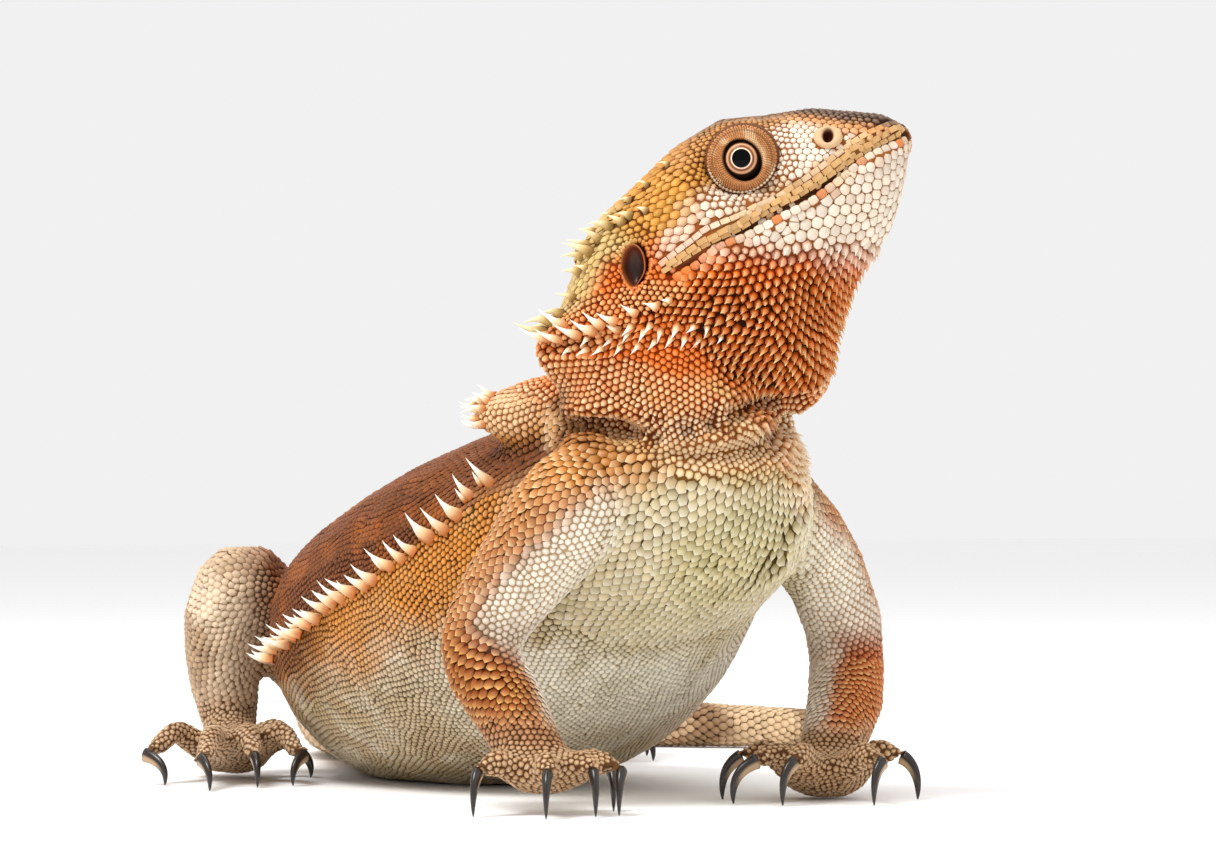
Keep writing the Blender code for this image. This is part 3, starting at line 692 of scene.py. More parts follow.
skinBody, skinTip, skinSeam = paint()


def addTint(piece, colours, name="tint"):
    layer = piece.data.color_attributes.new(name, "FLOAT_COLOR", "POINT")
    full = np.ones((len(colours), 4), dtype=np.float32)
    full[:, :3] = colours
    layer.data.foreach_set("color", full.ravel())


def tintSkin():
    # the bare skin between the scales, with painted shade along the mouth's slit
    h = inHead(skinAt)
    dark = ramp(-np.abs(lipHeight(h)), -0.9, -0.3) * (skinGroup == 0) * ramp(h[:, 0], 9, 14)
    addTint(skin, mix(skinSeam * bareSkin["share"], fromScreen(bareSkin["mouth"]), dark))


tintSkin()
print("painted")


def unwrapSkin():
    # a coarse copy of the skin is laid flat, and each scale takes its place on the map from it
    copy = skin.copy()
    copy.data = skin.data.copy()
    bpy.context.scene.collection.objects.link(copy)
    bakeModifier(copy, "DECIMATE", ratio=0.04, use_collapse_triangulate=True)
    editOn(copy)
    bpy.ops.mesh.select_all(action="SELECT")
    bpy.ops.uv.smart_project(angle_limit=math.radians(66), island_margin=0.002)
    editOff()
    corners = np.empty(len(copy.data.loops) * 2)
    copy.data.uv_layers.active.data.foreach_get("uv", corners)
    loopOf = np.empty(len(copy.data.loops), dtype=np.int32)
    copy.data.loops.foreach_get("vertex_index", loopOf)
    result = vertsOf(copy), loopOf.reshape(-1, 3), corners.reshape(-1, 3, 2)
    bpy.data.objects.remove(copy)
    return result


unwrapAt, unwrapFaces, unwrapUv = unwrapSkin()
unwrapTree = BVHTree.FromPolygons(unwrapAt.tolist(), unwrapFaces.tolist())


def uvAt(points):
    hits = [unwrapTree.find_nearest(point) for point in points.tolist()]
    face = np.array([hit[2] for hit in hits])
    spot = np.array([hit[0] for hit in hits])
    a, b, c = (unwrapAt[unwrapFaces[face, k]] for k in range(3))
    normal = np.cross(b - a, c - a)
    area = np.maximum((normal ** 2).sum(1), 1e-20)
    wb = (np.cross(spot - a, c - a) * normal).sum(1) / area
    wc = (np.cross(b - a, spot - a) * normal).sum(1) / area
    weights = np.clip(np.stack([1 - wb - wc, wb, wc], axis=1), 0, 1)
    weights /= weights.sum(1, keepdims=True)
    return (unwrapUv[face] * weights[:, :, None]).sum(1)


# The kinds of scale, each modelled once, in rings from the root up. A ring has its height, width and length,
# its shift towards the tip, and its tone at the back and at the tip: 0 the seam's, 1 the scale's and 2 the
# tip's.
scaleKinds = {
    "bead": {"sides": 6, "tilt": 8, "layers": [
        (-0.25, 0.95, 0.97, 0, 0, 0), (0.06, 0.95, 1.04, 0.02, 0.1, 0.7), (0.34, 0.5, 0.66, 0.1, 1.2, 2)]},
    "slab": {"sides": 12, "tilt": 2, "layers": [
        (-0.2, 0.97, 0.97, 0, 0, 0), (0.06, 1.0, 1.0, 0, 0.3, 0.4), (0.2, 0.84, 0.9, 0, 1.1, 1.3)]},
    "granule": {"sides": 6, "tilt": 6, "layers": [
        (-0.25, 0.97, 0.97, 0, 0, 0), (0.06, 0.94, 0.98, 0.01, 0.2, 0.6),
        (0.24, 0.55, 0.62, 0.05, 0.9, 1.45)]},
    "plate": {"sides": 10, "tilt": 1, "layers": [
        (-0.2, 0.97, 0.97, 0, 0, 0), (0.06, 1.0, 1.0, 0, 0.35, 0.5), (0.16, 0.87, 0.89, 0, 1.0, 1.4)]},
    "shingle": {"sides": 6, "tilt": 13, "layers": [
        (-0.2, 0.88, 0.93, -0.02, 0, 0), (0.02, 1.02, 1.36, 0.16, 0, 2), (0.16, 0.72, 0.96, 0.1, 0.45, 1.5)]},
    "keeled": {"sides": 6, "tilt": 9, "layers": [
        (-0.2, 0.9, 0.96, 0, 0, 0), (0.04, 0.98, 1.22, 0.08, 0.2, 1.2), (0.22, 0.3, 0.76, 0.14, 0.9, 1.5)]},
    "spiny": {"sides": 6, "tilt": 15, "layers": [
        (-0.25, 0.9, 0.94, 0, 0, 0), (0.08, 0.92, 1.1, 0.05, 0.1, 1.0), (0.44, 0.46, 0.6, 0.26, 0.9, 1.7),
        (0.7, 0.05, 0.07, 0.98, 2, 2)]},
    "spine": {"sides": 6, "tilt": 0, "layers": [
        (-0.12, 1.1, 1.3, 0.02, 0, 0), (0.08, 1.0, 1.08, -0.12, 0.4, 0.4),
        (0.24, 0.78, 0.82, -0.28, 1.0, 1.0), (0.44, 0.52, 0.54, -0.36, 1.7, 1.7),
        (0.66, 0.3, 0.3, -0.28, 2, 2), (0.85, 0.14, 0.14, -0.08, 2, 2), (1.0, 0.02, 0.02, 0.16, 2, 2)]},
}
cellRadius = 0.577  # from the middle of a six-sided cell to its corner, where cells are 1 apart


def ringStack(name, sides, layers, radius):
    # rings extruded one from the other and closed at both ends; a layer has height, width, length and shift
    height, wide, long, shift = layers[0][:4]
    deselect()
    bpy.ops.mesh.primitive_circle_add(vertices=sides, radius=radius, fill_type="NGON", location=(0, 0, 0))
    piece = bpy.context.object
    piece.name = name
    bpy.ops.object.mode_set(mode="EDIT")
    bpy.ops.mesh.select_all(action="SELECT")
    bpy.ops.transform.resize(value=(wide, long, 1), center_override=(0, 0, 0))
    bpy.ops.transform.translate(value=(0, shift, height))
    for layer in layers[1:]:
        bpy.ops.mesh.extrude_region_move()
        size = (layer[1] / wide, layer[2] / long, 1)
        bpy.ops.transform.resize(value=size, center_override=(0, shift, height))
        bpy.ops.transform.translate(value=(0, layer[3] - shift, layer[0] - height))
        height, wide, long, shift = layer[:4]
    bpy.ops.mesh.select_all(action="SELECT")
    bpy.ops.mesh.normals_make_consistent(inside=False)
    editOff()
    return piece


def modelScale(name, make):
    # one scale as arrays: its places, its faces and how its colours run
    piece = ringStack(name, make["sides"], make["layers"], cellRadius)
    editOn(piece)
    bpy.ops.mesh.select_all(action="SELECT")
    bpy.ops.mesh.quads_convert_to_tris(quad_method="BEAUTY", ngon_method="BEAUTY")
    editOff()
    places, faces = vertsOf(piece), trianglesOf(piece)
    layer = np.abs(places[:, 2:3] - np.array([row[0] for row in make["layers"]])).argmin(1)
    rows = np.array(make["layers"])[layer]
    ahead = np.clip((places[:, 1] - rows[:, 3]) / (cellRadius * rows[:, 2]) * 0.5 + 0.5, 0, 1)
    tone = rows[:, 4] * (1 - ahead) + rows[:, 5] * ahead
    flat = places[:, :2] / np.maximum(np.linalg.norm(places[:, :2], axis=1, keepdims=True), 1e-6)
    bpy.data.objects.remove(piece)
    return {"places": places, "faces": faces, "tone": tone, "tilt": math.radians(make["tilt"]), "flat": flat}


# Where the six neighbours of a well set scale stand, in scales.
idealNear = np.array([(1, 0), (-1, 0), (0.5, 0.866), (-0.5, 0.866), (0.5, -0.866), (-0.5, -0.866)])


def cellReach(near, directions):
    # how far a scale may reach in each direction before it meets its neighbours
    along = near @ directions.T
    half = (near ** 2).sum(-1)[..., None] / 2
    return np.where(along > 0.05, half / np.maximum(along, 0.05), 9).min(1)


templates = {name: modelScale(name, make) for name, make in scaleKinds.items()}
print("scale kinds:", {name: len(kind["faces"]) for name, kind in templates.items()})

coats = {}
coatMake = {"patch": 0.0013, "sharp": 62, "overFloor": 0.04}  # a scale's share of the map, degrees, mm


def stamp(coat, kind, at, out, flow, wide, long, high, tints, uv, near=None):
    # copies one kind of scale to many places of a coat; near holds the neighbours that each is fitted to
    template = templates[kind]
    angle = template["tilt"]
    flow = alongSurface(flow, out)
    across = np.cross(flow, out)
    ahead = flow * math.cos(angle) + out * math.sin(angle)
    upward = out * math.cos(angle) - flow * math.sin(angle)
    x, y, z = template["places"].T
    x, y, z = (np.broadcast_to(part, (len(at), len(part))) for part in (x, y, z))
    if near is not None:
        fit = np.clip(cellReach(near, template["flat"]) / cellRadius, 0.5, 1.5)
        x, y = x * fit, y * fit
    places = (at[:, None] + across[:, None] * (x * wide[:, None])[..., None]
              + ahead[:, None] * (y * long[:, None])[..., None]
              + upward[:, None] * (z * high[:, None])[..., None])
    places[..., 2] = np.maximum(places[..., 2], coatMake["overFloor"] * mm)
    body, tip, seam = tints
    tone = template["tone"][None, :, None]
    colours = np.where(tone < 1, seam[:, None] * (1 - tone) + body[:, None] * tone,
                       body[:, None] * (2 - tone) + tip[:, None] * (tone - 1))
    patch = uv[:, None] + np.stack([x, y], axis=-1) * coatMake["patch"]
    empty = {"places": [], "colours": [], "uv": [], "faces": [], "count": 0, "scales": 0}
    entry = coats.setdefault(coat, empty)
    first = (np.arange(len(at)) * x.shape[1])[:, None, None] + entry["count"]
    for key, value in (("places", places), ("colours", colours), ("faces", template["faces"][None] + first)):
        entry[key].append(value.reshape(-1, 3))
    entry["uv"].append(patch.reshape(-1, 2))
    entry["count"] += len(at) * x.shape[1]
    entry["scales"] += len(at)


def buildCoat(name, entry):
    places, colours, uv, faces = (np.concatenate(entry[key]) for key in ("places", "colours", "uv", "faces"))
    starts = np.arange(0, len(faces) * 3, 3, dtype=np.int32)
    mesh = bpy.data.meshes.new(name)
    mesh.vertices.add(len(places))
    mesh.vertices.foreach_set("co", places.astype(np.float32).ravel())
    mesh.loops.add(len(faces) * 3)
    mesh.loops.foreach_set("vertex_index", faces.astype(np.int32).ravel())
    mesh.polygons.add(len(faces))
    mesh.polygons.foreach_set("loop_start", starts)
    mesh.polygons.foreach_set("loop_total", np.full(len(faces), 3, dtype=np.int32))
    mesh.update(calc_edges=True)
    layer = mesh.uv_layers.new(name="OFBake")
    layer.data.foreach_set("uv", np.clip(uv[faces.ravel()], 0, 1).astype(np.float32).ravel())
    mesh.shade_smooth()
    mesh.set_sharp_from_angle(angle=math.radians(coatMake["sharp"]))
    coat = bpy.data.objects.new(name, mesh)
    bpy.context.scene.collection.objects.link(coat)
    addTint(coat, colours)
    print(name, entry["scales"], "scales,", len(faces), "triangles")
    return coat


def faceValues(field, face):
    # the mean of the skin's values over the corners of a face
    return field[skinFaces[face]].mean(1)


def landOnSkin(points):
    hits = [skinTree.find_nearest(point) for point in np.asarray(points).tolist()]
    return np.array([hit[0] for hit in hits]), np.array([hit[2] for hit in hits])


taken = []  # places that the other scales keep clear of, each with how wide


def growOn(points, tone=None):
    # places on the skin, which way it faces there, which way scales lie, and their three colours
    at, face = landOnSkin(points)
    out = unit(faceValues(skinLean, face))
    if tone:
        tints = [np.broadcast_to(fromScreen(shade) * toneBoost, at.shape) for shade in tones[tone]]
    else:
        tints = [faceValues(layer, face) for layer in (skinBody, skinTip, skinSeam)]
    return at, out, unit(faceValues(skinFlow, face)), tints


def evenly(line, pace):
    # points at an even pace in mm along a line
    line = np.array(line)
    runs = np.linalg.norm(np.diff(line, axis=0), axis=1)
    total = np.concatenate([[0], np.cumsum(runs)])
    count = max(2, int(round(total[-1] / (pace * mm))) + 1)
    spots = np.linspace(0, total[-1], count)
    return np.stack([np.interp(spots, total, line[:, k]) for k in range(3)], axis=1)


# The rows of plates along the lips: above the mouth's line or below it, length and height in mm, and tone.
lipRows = [(0.58, 1.9, 0.95, "lip"), (1.58, 2.1, 1.05, "lip"), (2.68, 1.8, 1.1, None),
           (-0.88, 1.8, 1.5, None)]


def setLips():
    # the plates of the lips stand in rows: where they are, which way they run, their colours and their size
    rows = []
    for side in (-1, 1):
        for number, (rise, long, high, tone) in enumerate(lipRows):
            points = evenly(curveThrough(headLine(side, mouthLine, rise), 6), long)
            if number % 2:
                points = (points[1:] + points[:-1]) / 2
            at, _, _, tints = growOn(points, tone)
            run = unit(-np.gradient(at, axis=0))
            if rise < 0:  # every few plates one is marked orange
                marked = (np.arange(len(at)) % 5 == 1) * (0.7 + 0.3 * dice.random(len(at)))
                tints = [mix(tint, fromScreen(shade), marked) for tint, shade in zip(tints, tones["rust"])]
            pace = np.linalg.norm(np.diff(at, axis=0), axis=1).mean() / mm
            rows.append([at, run, *tints, np.full(len(at), high), np.full(len(at), pace)])
    keys = ("at", "run", "body", "tip", "seam", "high", "long")
    return {key: np.concatenate(column) for key, column in zip(keys, zip(*rows))}


lipPlates = setLips()
lipCount = len(lipPlates["at"])  # they are the first of all roots, and stay where they are


def treeOf(points):
    tree = KDTree(len(points))
    for number, point in enumerate(points.tolist()):
        tree.insert(point, number)
    tree.balance()
    return tree


def gapTo(others, points):
    # how far each point is from the nearest of the others, in metres
    tree = treeOf(others)
    return np.array([tree.find(point)[2] for point in points.tolist()])


# The triangles of the skin: corners, area, size of the scales there, and room in scales.
faceCorners = skinAt[skinFaces]
faceSides = faceCorners[:, 1:] - faceCorners[:, :1]
faceArea = np.linalg.norm(np.cross(faceSides[:, 0], faceSides[:, 1]), axis=1) / 2
faceSize = skinSize[skinFaces].mean(1) * mm
faceRoom = faceArea / faceSize ** 2


def scatter(crowd, apart, known):
    # random places on the skin, clear of those that are known and of one another
    tries = int(faceRoom.sum() * crowd)
    face = dice.choice(len(skinFaces), size=tries, p=faceRoom / faceRoom.sum())
    first, second = dice.random(tries), dice.random(tries)
    flip = first + second > 1
    first[flip], second[flip] = 1 - first[flip], 1 - second[flip]
    points = (faceCorners[face, 0] * (1 - first - second)[:, None] + faceCorners[face, 1] * first[:, None]
              + faceCorners[face, 2] * second[:, None])
    reach = faceSize[face] * apart
    free = gapTo(known, points) > reach
    points, reach = points[free], reach[free]
    cell = 0.0026  # metres, more than the widest gap that is asked for
    grid, keep = {}, []
    around = [(i, j, k) for i in (-1, 0, 1) for j in (-1, 0, 1) for k in (-1, 0, 1)]
    cells = np.floor(points / cell).astype(int).tolist()
    for number, ((i, j, k), (x, y, z), far) in enumerate(zip(cells, points.tolist(), (reach ** 2).tolist())):
        beside = (spot for di, dj, dk in around for spot in grid.get((i + di, j + dj, k + dk), ()))
        if all((px - x) ** 2 + (py - y) ** 2 + (pz - z) ** 2 >= far for px, py, pz in beside):
            grid.setdefault((i, j, k), []).append((x, y, z))
            keep.append(number)
    return points[keep]


def neighbours(points, out, flow, size, count):
    # the places of the nearest roots as seen from each root: across and along its flow, in scales
    tree = treeOf(points)
    near = np.array([[hit[1] for hit in tree.find_n(point, count + 1)][1:] for point in points.tolist()])
    away = points[near] - points[:, None]
    pace = ((size[:, None] + size[near]) / 2)[..., None]
    side = np.cross(flow, out)
    return np.stack([(away * side[:, None]).sum(-1), (away * flow[:, None]).sum(-1)], axis=-1) / pace, near


def settle(points, rounds):
    # moves the roots until each has its neighbours beside it and in the staggered rows before and behind
    points, face = landOnSkin(points)
    free = (np.arange(len(points)) >= lipCount)[:, None]
    for _ in range(rounds):
        out, flow = unit(faceValues(skinLean, face)), unit(faceValues(skinFlow, face))
        size = faceValues(skinSize, face) * mm
        local, _ = neighbours(points, out, flow, size, 6)
        gap = local[:, :, None] - idealNear[None, None]
        best = (gap ** 2).sum(-1).argmin(-1)
        error = np.take_along_axis(gap, best[:, :, None, None], axis=2)[:, :, 0]
        trust = (np.linalg.norm(local, axis=-1) < 1.5)[..., None]
        shift = (error * trust).sum(1) / np.maximum(trust.sum(1), 1) * 0.6
        shift = np.clip(shift, -0.3, 0.3) * size[:, None] * free
        side = np.cross(flow, out)
        points, face = landOnSkin(points + side * shift[:, :1] + flow * shift[:, 1:])
    return points, face


def thin(points, face, apart):
    # of two that settled too close to one another, one goes
    size = faceValues(skinSize, face) * mm
    tree = treeOf(points)
    keep = np.ones(len(points), bool)
    for number, point in enumerate(points.tolist()):
        if keep[number]:
            for _, other, gap in tree.find_n(point, 4)[1:]:
                if keep[other] and other >= lipCount and gap < apart * size[number]:
                    keep[other] = False
    return points[keep], face[keep]


# How the roots are set: tries for each scale, gap in scales, and rounds of settling. Then the rounds of
# filling up, the closest that two may stand, in scales, and how clear of the lips' plates they are, in mm.
rootMake = {"first": (6, 0.74, 7), "later": (4, 0.68, 4), "last": (4, 0.66), "rounds": 5, "closest": 0.6,
            "lipGap": 1.02}


def growRoots():
    crowd, apart, rounds = rootMake["first"]
    lips = lipPlates["at"]
    points, face = settle(np.concatenate([lips, scatter(crowd, apart, lips)]), rounds)
    crowd, apart, rounds = rootMake["later"]
    for _ in range(rootMake["rounds"]):
        points, face = thin(points, face, rootMake["closest"])
        points, face = settle(np.concatenate([points, scatter(crowd, apart, points)]), rounds)
    points, face = thin(points, face, rootMake["closest"])
    clear = gapTo(lips, points) > rootMake["lipGap"] * mm
    clear[:lipCount] = True
    points = points[clear]
    points, face = landOnSkin(np.concatenate([points, scatter(*rootMake["last"], points)]))
    print("roots:", len(points), "of", int(faceRoom.sum() / 0.866))  # 0.866 is the room of a six-sided cell
    return points, face


roots, rootFace = growRoots()


def growSpines(coat, points, lean, length, width, tone=None, steep=0.55):
    # spines rise from the skin and sweep over towards their lean
    at, out, _, tints = growOn(points, tone)
    lean = unit(np.broadcast_to(lean, at.shape))
    rise = unit(out * steep + lean)
    bend = alongSurface(lean, rise)
    count = len(at)
    width = np.broadcast_to(width, (count,)) * mm
    length = np.broadcast_to(length, (count,)) * mm
    stamp(coat, "spine", at, rise, bend, width, width, length, tints, uvAt(at))
    taken.extend((point, wide * 0.8 / mm) for point, wide in zip(at, width))


# The rows along the flanks: pace, length and width in mm, and the short spines between the long ones.
flankSpine = {"pace": 3.9, "length": 5.4, "width": 1.9, "between": (2.8, 1.2), "steep": 0.5}
for side, name in ((1, "coat_flank_right"), (-1, "coat_flank_left")):
    line = [atBody(x if side == 1 else -x - 9 + 0.10 * y, y, z) for x, y, z in flankLine]
    points = evenly(curveThrough(line, 6), flankSpine["pace"])
    points = points + dice.normal(0, 0.4, points.shape) * mm
    count = len(points)
    lean = np.array([-0.5 * side, 0.66, 0.0]) + np.outer(np.linspace(0.95, 0.2, count), [0, 0, 1])
    lean = lean + dice.normal(0, 0.13, (count, 3))
    long = flankSpine["length"] * (0.8 + 0.35 * dice.random(count))
    wide = flankSpine["width"] * (0.85 + 0.3 * dice.random(count))
    growSpines(name, points, lean, long, wide, "spike", flankSpine["steep"])
    between = (points[1:] + points[:-1]) / 2 + np.array([0, 0, 1.1]) * mm
    growSpines(name, between, lean[1:], *flankSpine["between"], "spike", flankSpine["steep"])

# The spines of the head: ahead, aside and above of its seat, then length and width, all in mm.
napeSpines = [(-2.9, 17.5, 7.8, 4.6, 2.2), (1.5, 19, 5.6, 6.0, 2.4), (0.4, 18, 8.3, 4.0, 1.9),
              (3.6, 18.5, 6.8, 4.6, 2.1), (5.8, 18.5, 7.2, 3.9, 2.0), (8.2, 18.5, 6.8, 3.3, 1.9),
              (10.4, 18.6, 6.4, 2.8, 1.8), (3.2, 16.5, 9.4, 2.7, 1.6), (6.8, 16, 9.8, 2.4, 1.5),
              (11, 15.5, 10.2, 2.2, 1.4), (15, 14.5, 11.2, 2.0, 1.3), (19, 13.2, 12.2, 1.8, 1.2),
              (-3.4, 19.5, 4.9, 3.4, 1.8), (-0.5, 20.6, 4.1, 2.6, 1.6), (13.2, 18.6, 6.2, 2.2, 1.7)]
jowlBack = [(-12.4, 18, -0.6, 6.2, 2.2), (-10.5, 19, -0.2, 5.8, 2.2), (-8.4, 20, 0.6, 4.6, 2.0),
            (-5.6, 21, 1.0, 3.4, 1.7), (-12.6, 17, 1.2, 4.0, 1.7), (-9.6, 18, 2.2, 3.2, 1.5)]
jowlWhite = [(-11.9, 19, -2.8, 5.2, 2.2), (-10.6, 19.5, -4.2, 5.4, 2.1), (-8.6, 20.5, -3.2, 5.0, 2.1),
             (-7.4, 21.5, -5.2, 5.0, 2.1), (-4.9, 22.4, -5.8, 4.6, 2.1), (-2.6, 23, -6.6, 4.2, 2.0),
             (0.2, 23.4, -7.0, 3.9, 2.0), (3.0, 23.3, -7.8, 3.2, 1.9), (6.0, 22.5, -8.4, 2.4, 1.8),
             (9.2, 22, -8.9, 2.0, 1.7), (-4.0, 22.3, -8.0, 3.0, 1.6), (-0.8, 22.6, -8.8, 2.8, 1.6)]
fringe = [(-7.4, 21, -8.2, 2.4, 1.3), (-5.2, 21.3, -9.6, 2.6, 1.4), (-3.0, 21.6, -8.9, 2.8, 1.4),
          (-2.2, 21.5, -11.0, 2.3, 1.3), (-0.2, 22, -10.2, 2.8, 1.4), (0.6, 21.5, -12.2, 2.5, 1.3),
          (2.6, 21.7, -11.0, 2.9, 1.5), (3.0, 21.2, -13.2, 2.7, 1.4), (5.0, 21, -12.0, 2.8, 1.5),
          (5.4, 20.6, -14.2, 2.6, 1.4), (7.4, 20.6, -12.6, 2.8, 1.5), (7.6, 20.2, -15.2, 2.6, 1.4),
          (9.6, 20, -13.8, 2.6, 1.4), (10.0, 19.5, -16.6, 2.5, 1.3), (12.0, 19, -15.4, 2.4, 1.3),
          (-6.2, 21, -7.0, 2.6, 1.4), (-9.6, 20.4, -6.6, 2.4, 1.3), (1.4, 22.3, -9.0, 2.6, 1.5),
          (4.4, 22, -10.2, 2.6, 1.5), (13.0, 18.6, -18.0, 2.2, 1.2)]
# Each group with the way it leans (ahead, aside, above), its tone, and how steeply it stands.
headSpines = [(napeSpines, (-0.70, 0.12, 0.68), "nape", 0.2), (jowlBack, (-0.80, 0.22, 0.56), "nape", 0.15),
              (jowlWhite, (-0.50, 0.18, 0.84), "spike", 0.25), (fringe, (-0.86, 0.30, -0.38), "spike", 0.35)]
for rows, lean, tone, steep in headSpines:
    for side in (-1, 1):
        rows = np.array(rows, dtype=float)
        points = [atHead(a, side * s, n) for a, s, n, _, _ in rows]
        turn = headForward * lean[0] + headSide * side * lean[1] + headUp * lean[2]
        turns = turn + dice.normal(0, 0.16, (len(rows), 3))
        points = np.array(points) + dice.normal(0, 0.25, (len(rows), 3)) * mm
        stout = 0.84 + 0.2 * dice.random(len(rows))
        growSpines("coat_head", points, turns, rows[:, 3] * stout, rows[:, 4] * 0.86 * stout, tone, steep)
# The short spines on the folds behind the neck.
foldSpines = [((-31, 19, 68.5), (-32, 19.5, 66.5), (-31, 18, 64.5), (-29.5, 17, 69.5)),
              ((14, 30, 68.5), (15, 30.5, 66.5), (15, 30, 64.5))]
for points, lean in zip(foldSpines, ((-0.75, 0.6, 0.2), (0.2, 0.95, 0.2))):
    line = evenly([atBody(*point) for point in points], 1.5)
    for lift in (-0.6, 0.6):
        leans = np.array(lean) + dice.normal(0, 0.2, (len(line), 3))
        growSpines("coat_neck", line + np.array([0.3 * lift, -lift, 0]) * mm, leans, 3.4, 1.35, "spike", 0.3)

print("rows:", {name: entry["scales"] for name, entry in coats.items()})

# The rings of the lids from the outside in: half length, half height, how far down and how far out, in mm.
lidRings = [(6.55, 6.05, 0, -0.6), (6.4, 5.95, 0, 1.7), (6.05, 5.65, 0.03, 2.5), (5.6, 5.3, 0.08, 3.15),
            (5.0, 4.9, 0.14, 3.7), (4.35, 4.45, 0.22, 4.05), (3.75, 4.05, 0.3, 4.2), (3.3, 3.8, 0.34, 4.15),
            (3.02, 3.62, 0.36, 3.9), (2.9, 3.52, 0.36, 3.45), (2.95, 3.6, 0.35, 2.6), (3.5, 3.9, 0.2, 1.6),
            (4.4, 4.4, 0, 0.4)]
# Colours of the lids: light also paints highlight arcs, and edge also paints shade in the folds between rows.
lidTones = {"tan": (190, 128, 78), "light": (240, 206, 160), "edge": (104, 56, 30), "rim": (20, 14, 11),
            "bead": (255, 236, 200)}
# The rows of fine beads on the lids, and the one row of larger, cream beads under the eye, in mm.
lidBeads = {"rows": 14, "first": 1.1, "last": 7.2, "bead": 0.47, "finer": 0.01, "creamRow": 3, "cream": 0.66}
eyeMake = {"radius": 4.55, "cornea": 0.2, "corneaWide": 2.2}  # mm
# The rings of the ears and nostrils from the outside in: half length, half height and how far out, in mm.
earRings = [(0.6, 1.2, -2.7), (1.4, 2.5, -2.3), (1.9, 3.2, -1.3), (2.25, 3.7, -0.2), (2.35, 3.8, 0.2),
            (2.2, 3.65, 0.28), (2.05, 3.45, 0.05), (1.85, 3.15, -0.8), (1.4, 2.5, -1.5), (0.7, 1.4, -1.85)]
nostrilRings = [(1.0, 1.0, -2.2), (2.45, 2.1, -0.6), (2.4, 2.08, -0.1), (2.1, 1.85, 0.28), (1.6, 1.6, 0.36),
                (1.15, 1.4, 0.2), (0.8, 1.25, -0.15), (0.6, 1.05, -0.7), (0.4, 0.8, -1.4)]
# the ear's dark skin, its painted sheen, and its rim
earTones = {"dark": (44, 22, 16), "paintedSheen": (128, 58, 34), "edge": (150, 84, 42)}
nostrilTones = {"edge": (208, 172, 132), "dark": (64, 20, 12)}


def ovalPiece(name, rings, place, axes, sides):
    # a closed shape of oval rings, and its points before they were turned to their place
    layers = [(ring[-1], ring[0], ring[1], ring[2] if len(ring) == 4 else 0) for ring in rings]
    piece = ringStack(name, sides, layers, 1)
    local = vertsOf(piece)
    putVerts(piece, place + local @ axes * mm)
    faceOutwards(piece)
    piece.data.shade_smooth()
    return piece, local


def modelEye(name, axes, centre):
    deselect()
    bpy.ops.mesh.primitive_uv_sphere_add(segments=64, ring_count=48, radius=eyeMake["radius"] * mm)
    eye = bpy.context.object
    eye.name = "eyeball_" + name
    places = vertsOf(eye) / mm
    around = np.hypot(places[:, 0], places[:, 1])
    bulge = eyeMake["cornea"] * np.exp(-(around / eyeMake["corneaWide"]) ** 2)
    places[:, 2] += np.where(places[:, 2] > 0, bulge, 0)
    putVerts(eye, centre + places @ axes * mm)
    if np.linalg.det(axes) < 0:
        eye.data.flip_normals()
    eye.data.shade_smooth()
    return eye


def modelLids(name, axes, centre):
    lid, local = ovalPiece("lids_" + name, lidRings, centre, axes, 72)
    # the inner wall of the lids is near black: the dark eyelid margin, with painted shade in the gap over the
    # eyeball
    inward = ramp(-np.hypot(local[:, 0] / 3.05, (local[:, 1] - 0.36) / 3.65), -1.05, -0.98)
    addTint(lid, mix(fromScreen(lidTones["edge"]), fromScreen(lidTones["rim"]), inward))
    return lid


def roundOval(wide, tall, bead, shift):
    # the angles of the beads that stand round an oval
    count = int(math.pi * (wide + tall) / bead)
    return (np.arange(count) + 0.5 * shift) * 2 * math.pi / count


def lidAt(spot):
    return [np.interp(spot, np.arange(len(lidRings)), column) for column in np.array(lidRings).T]


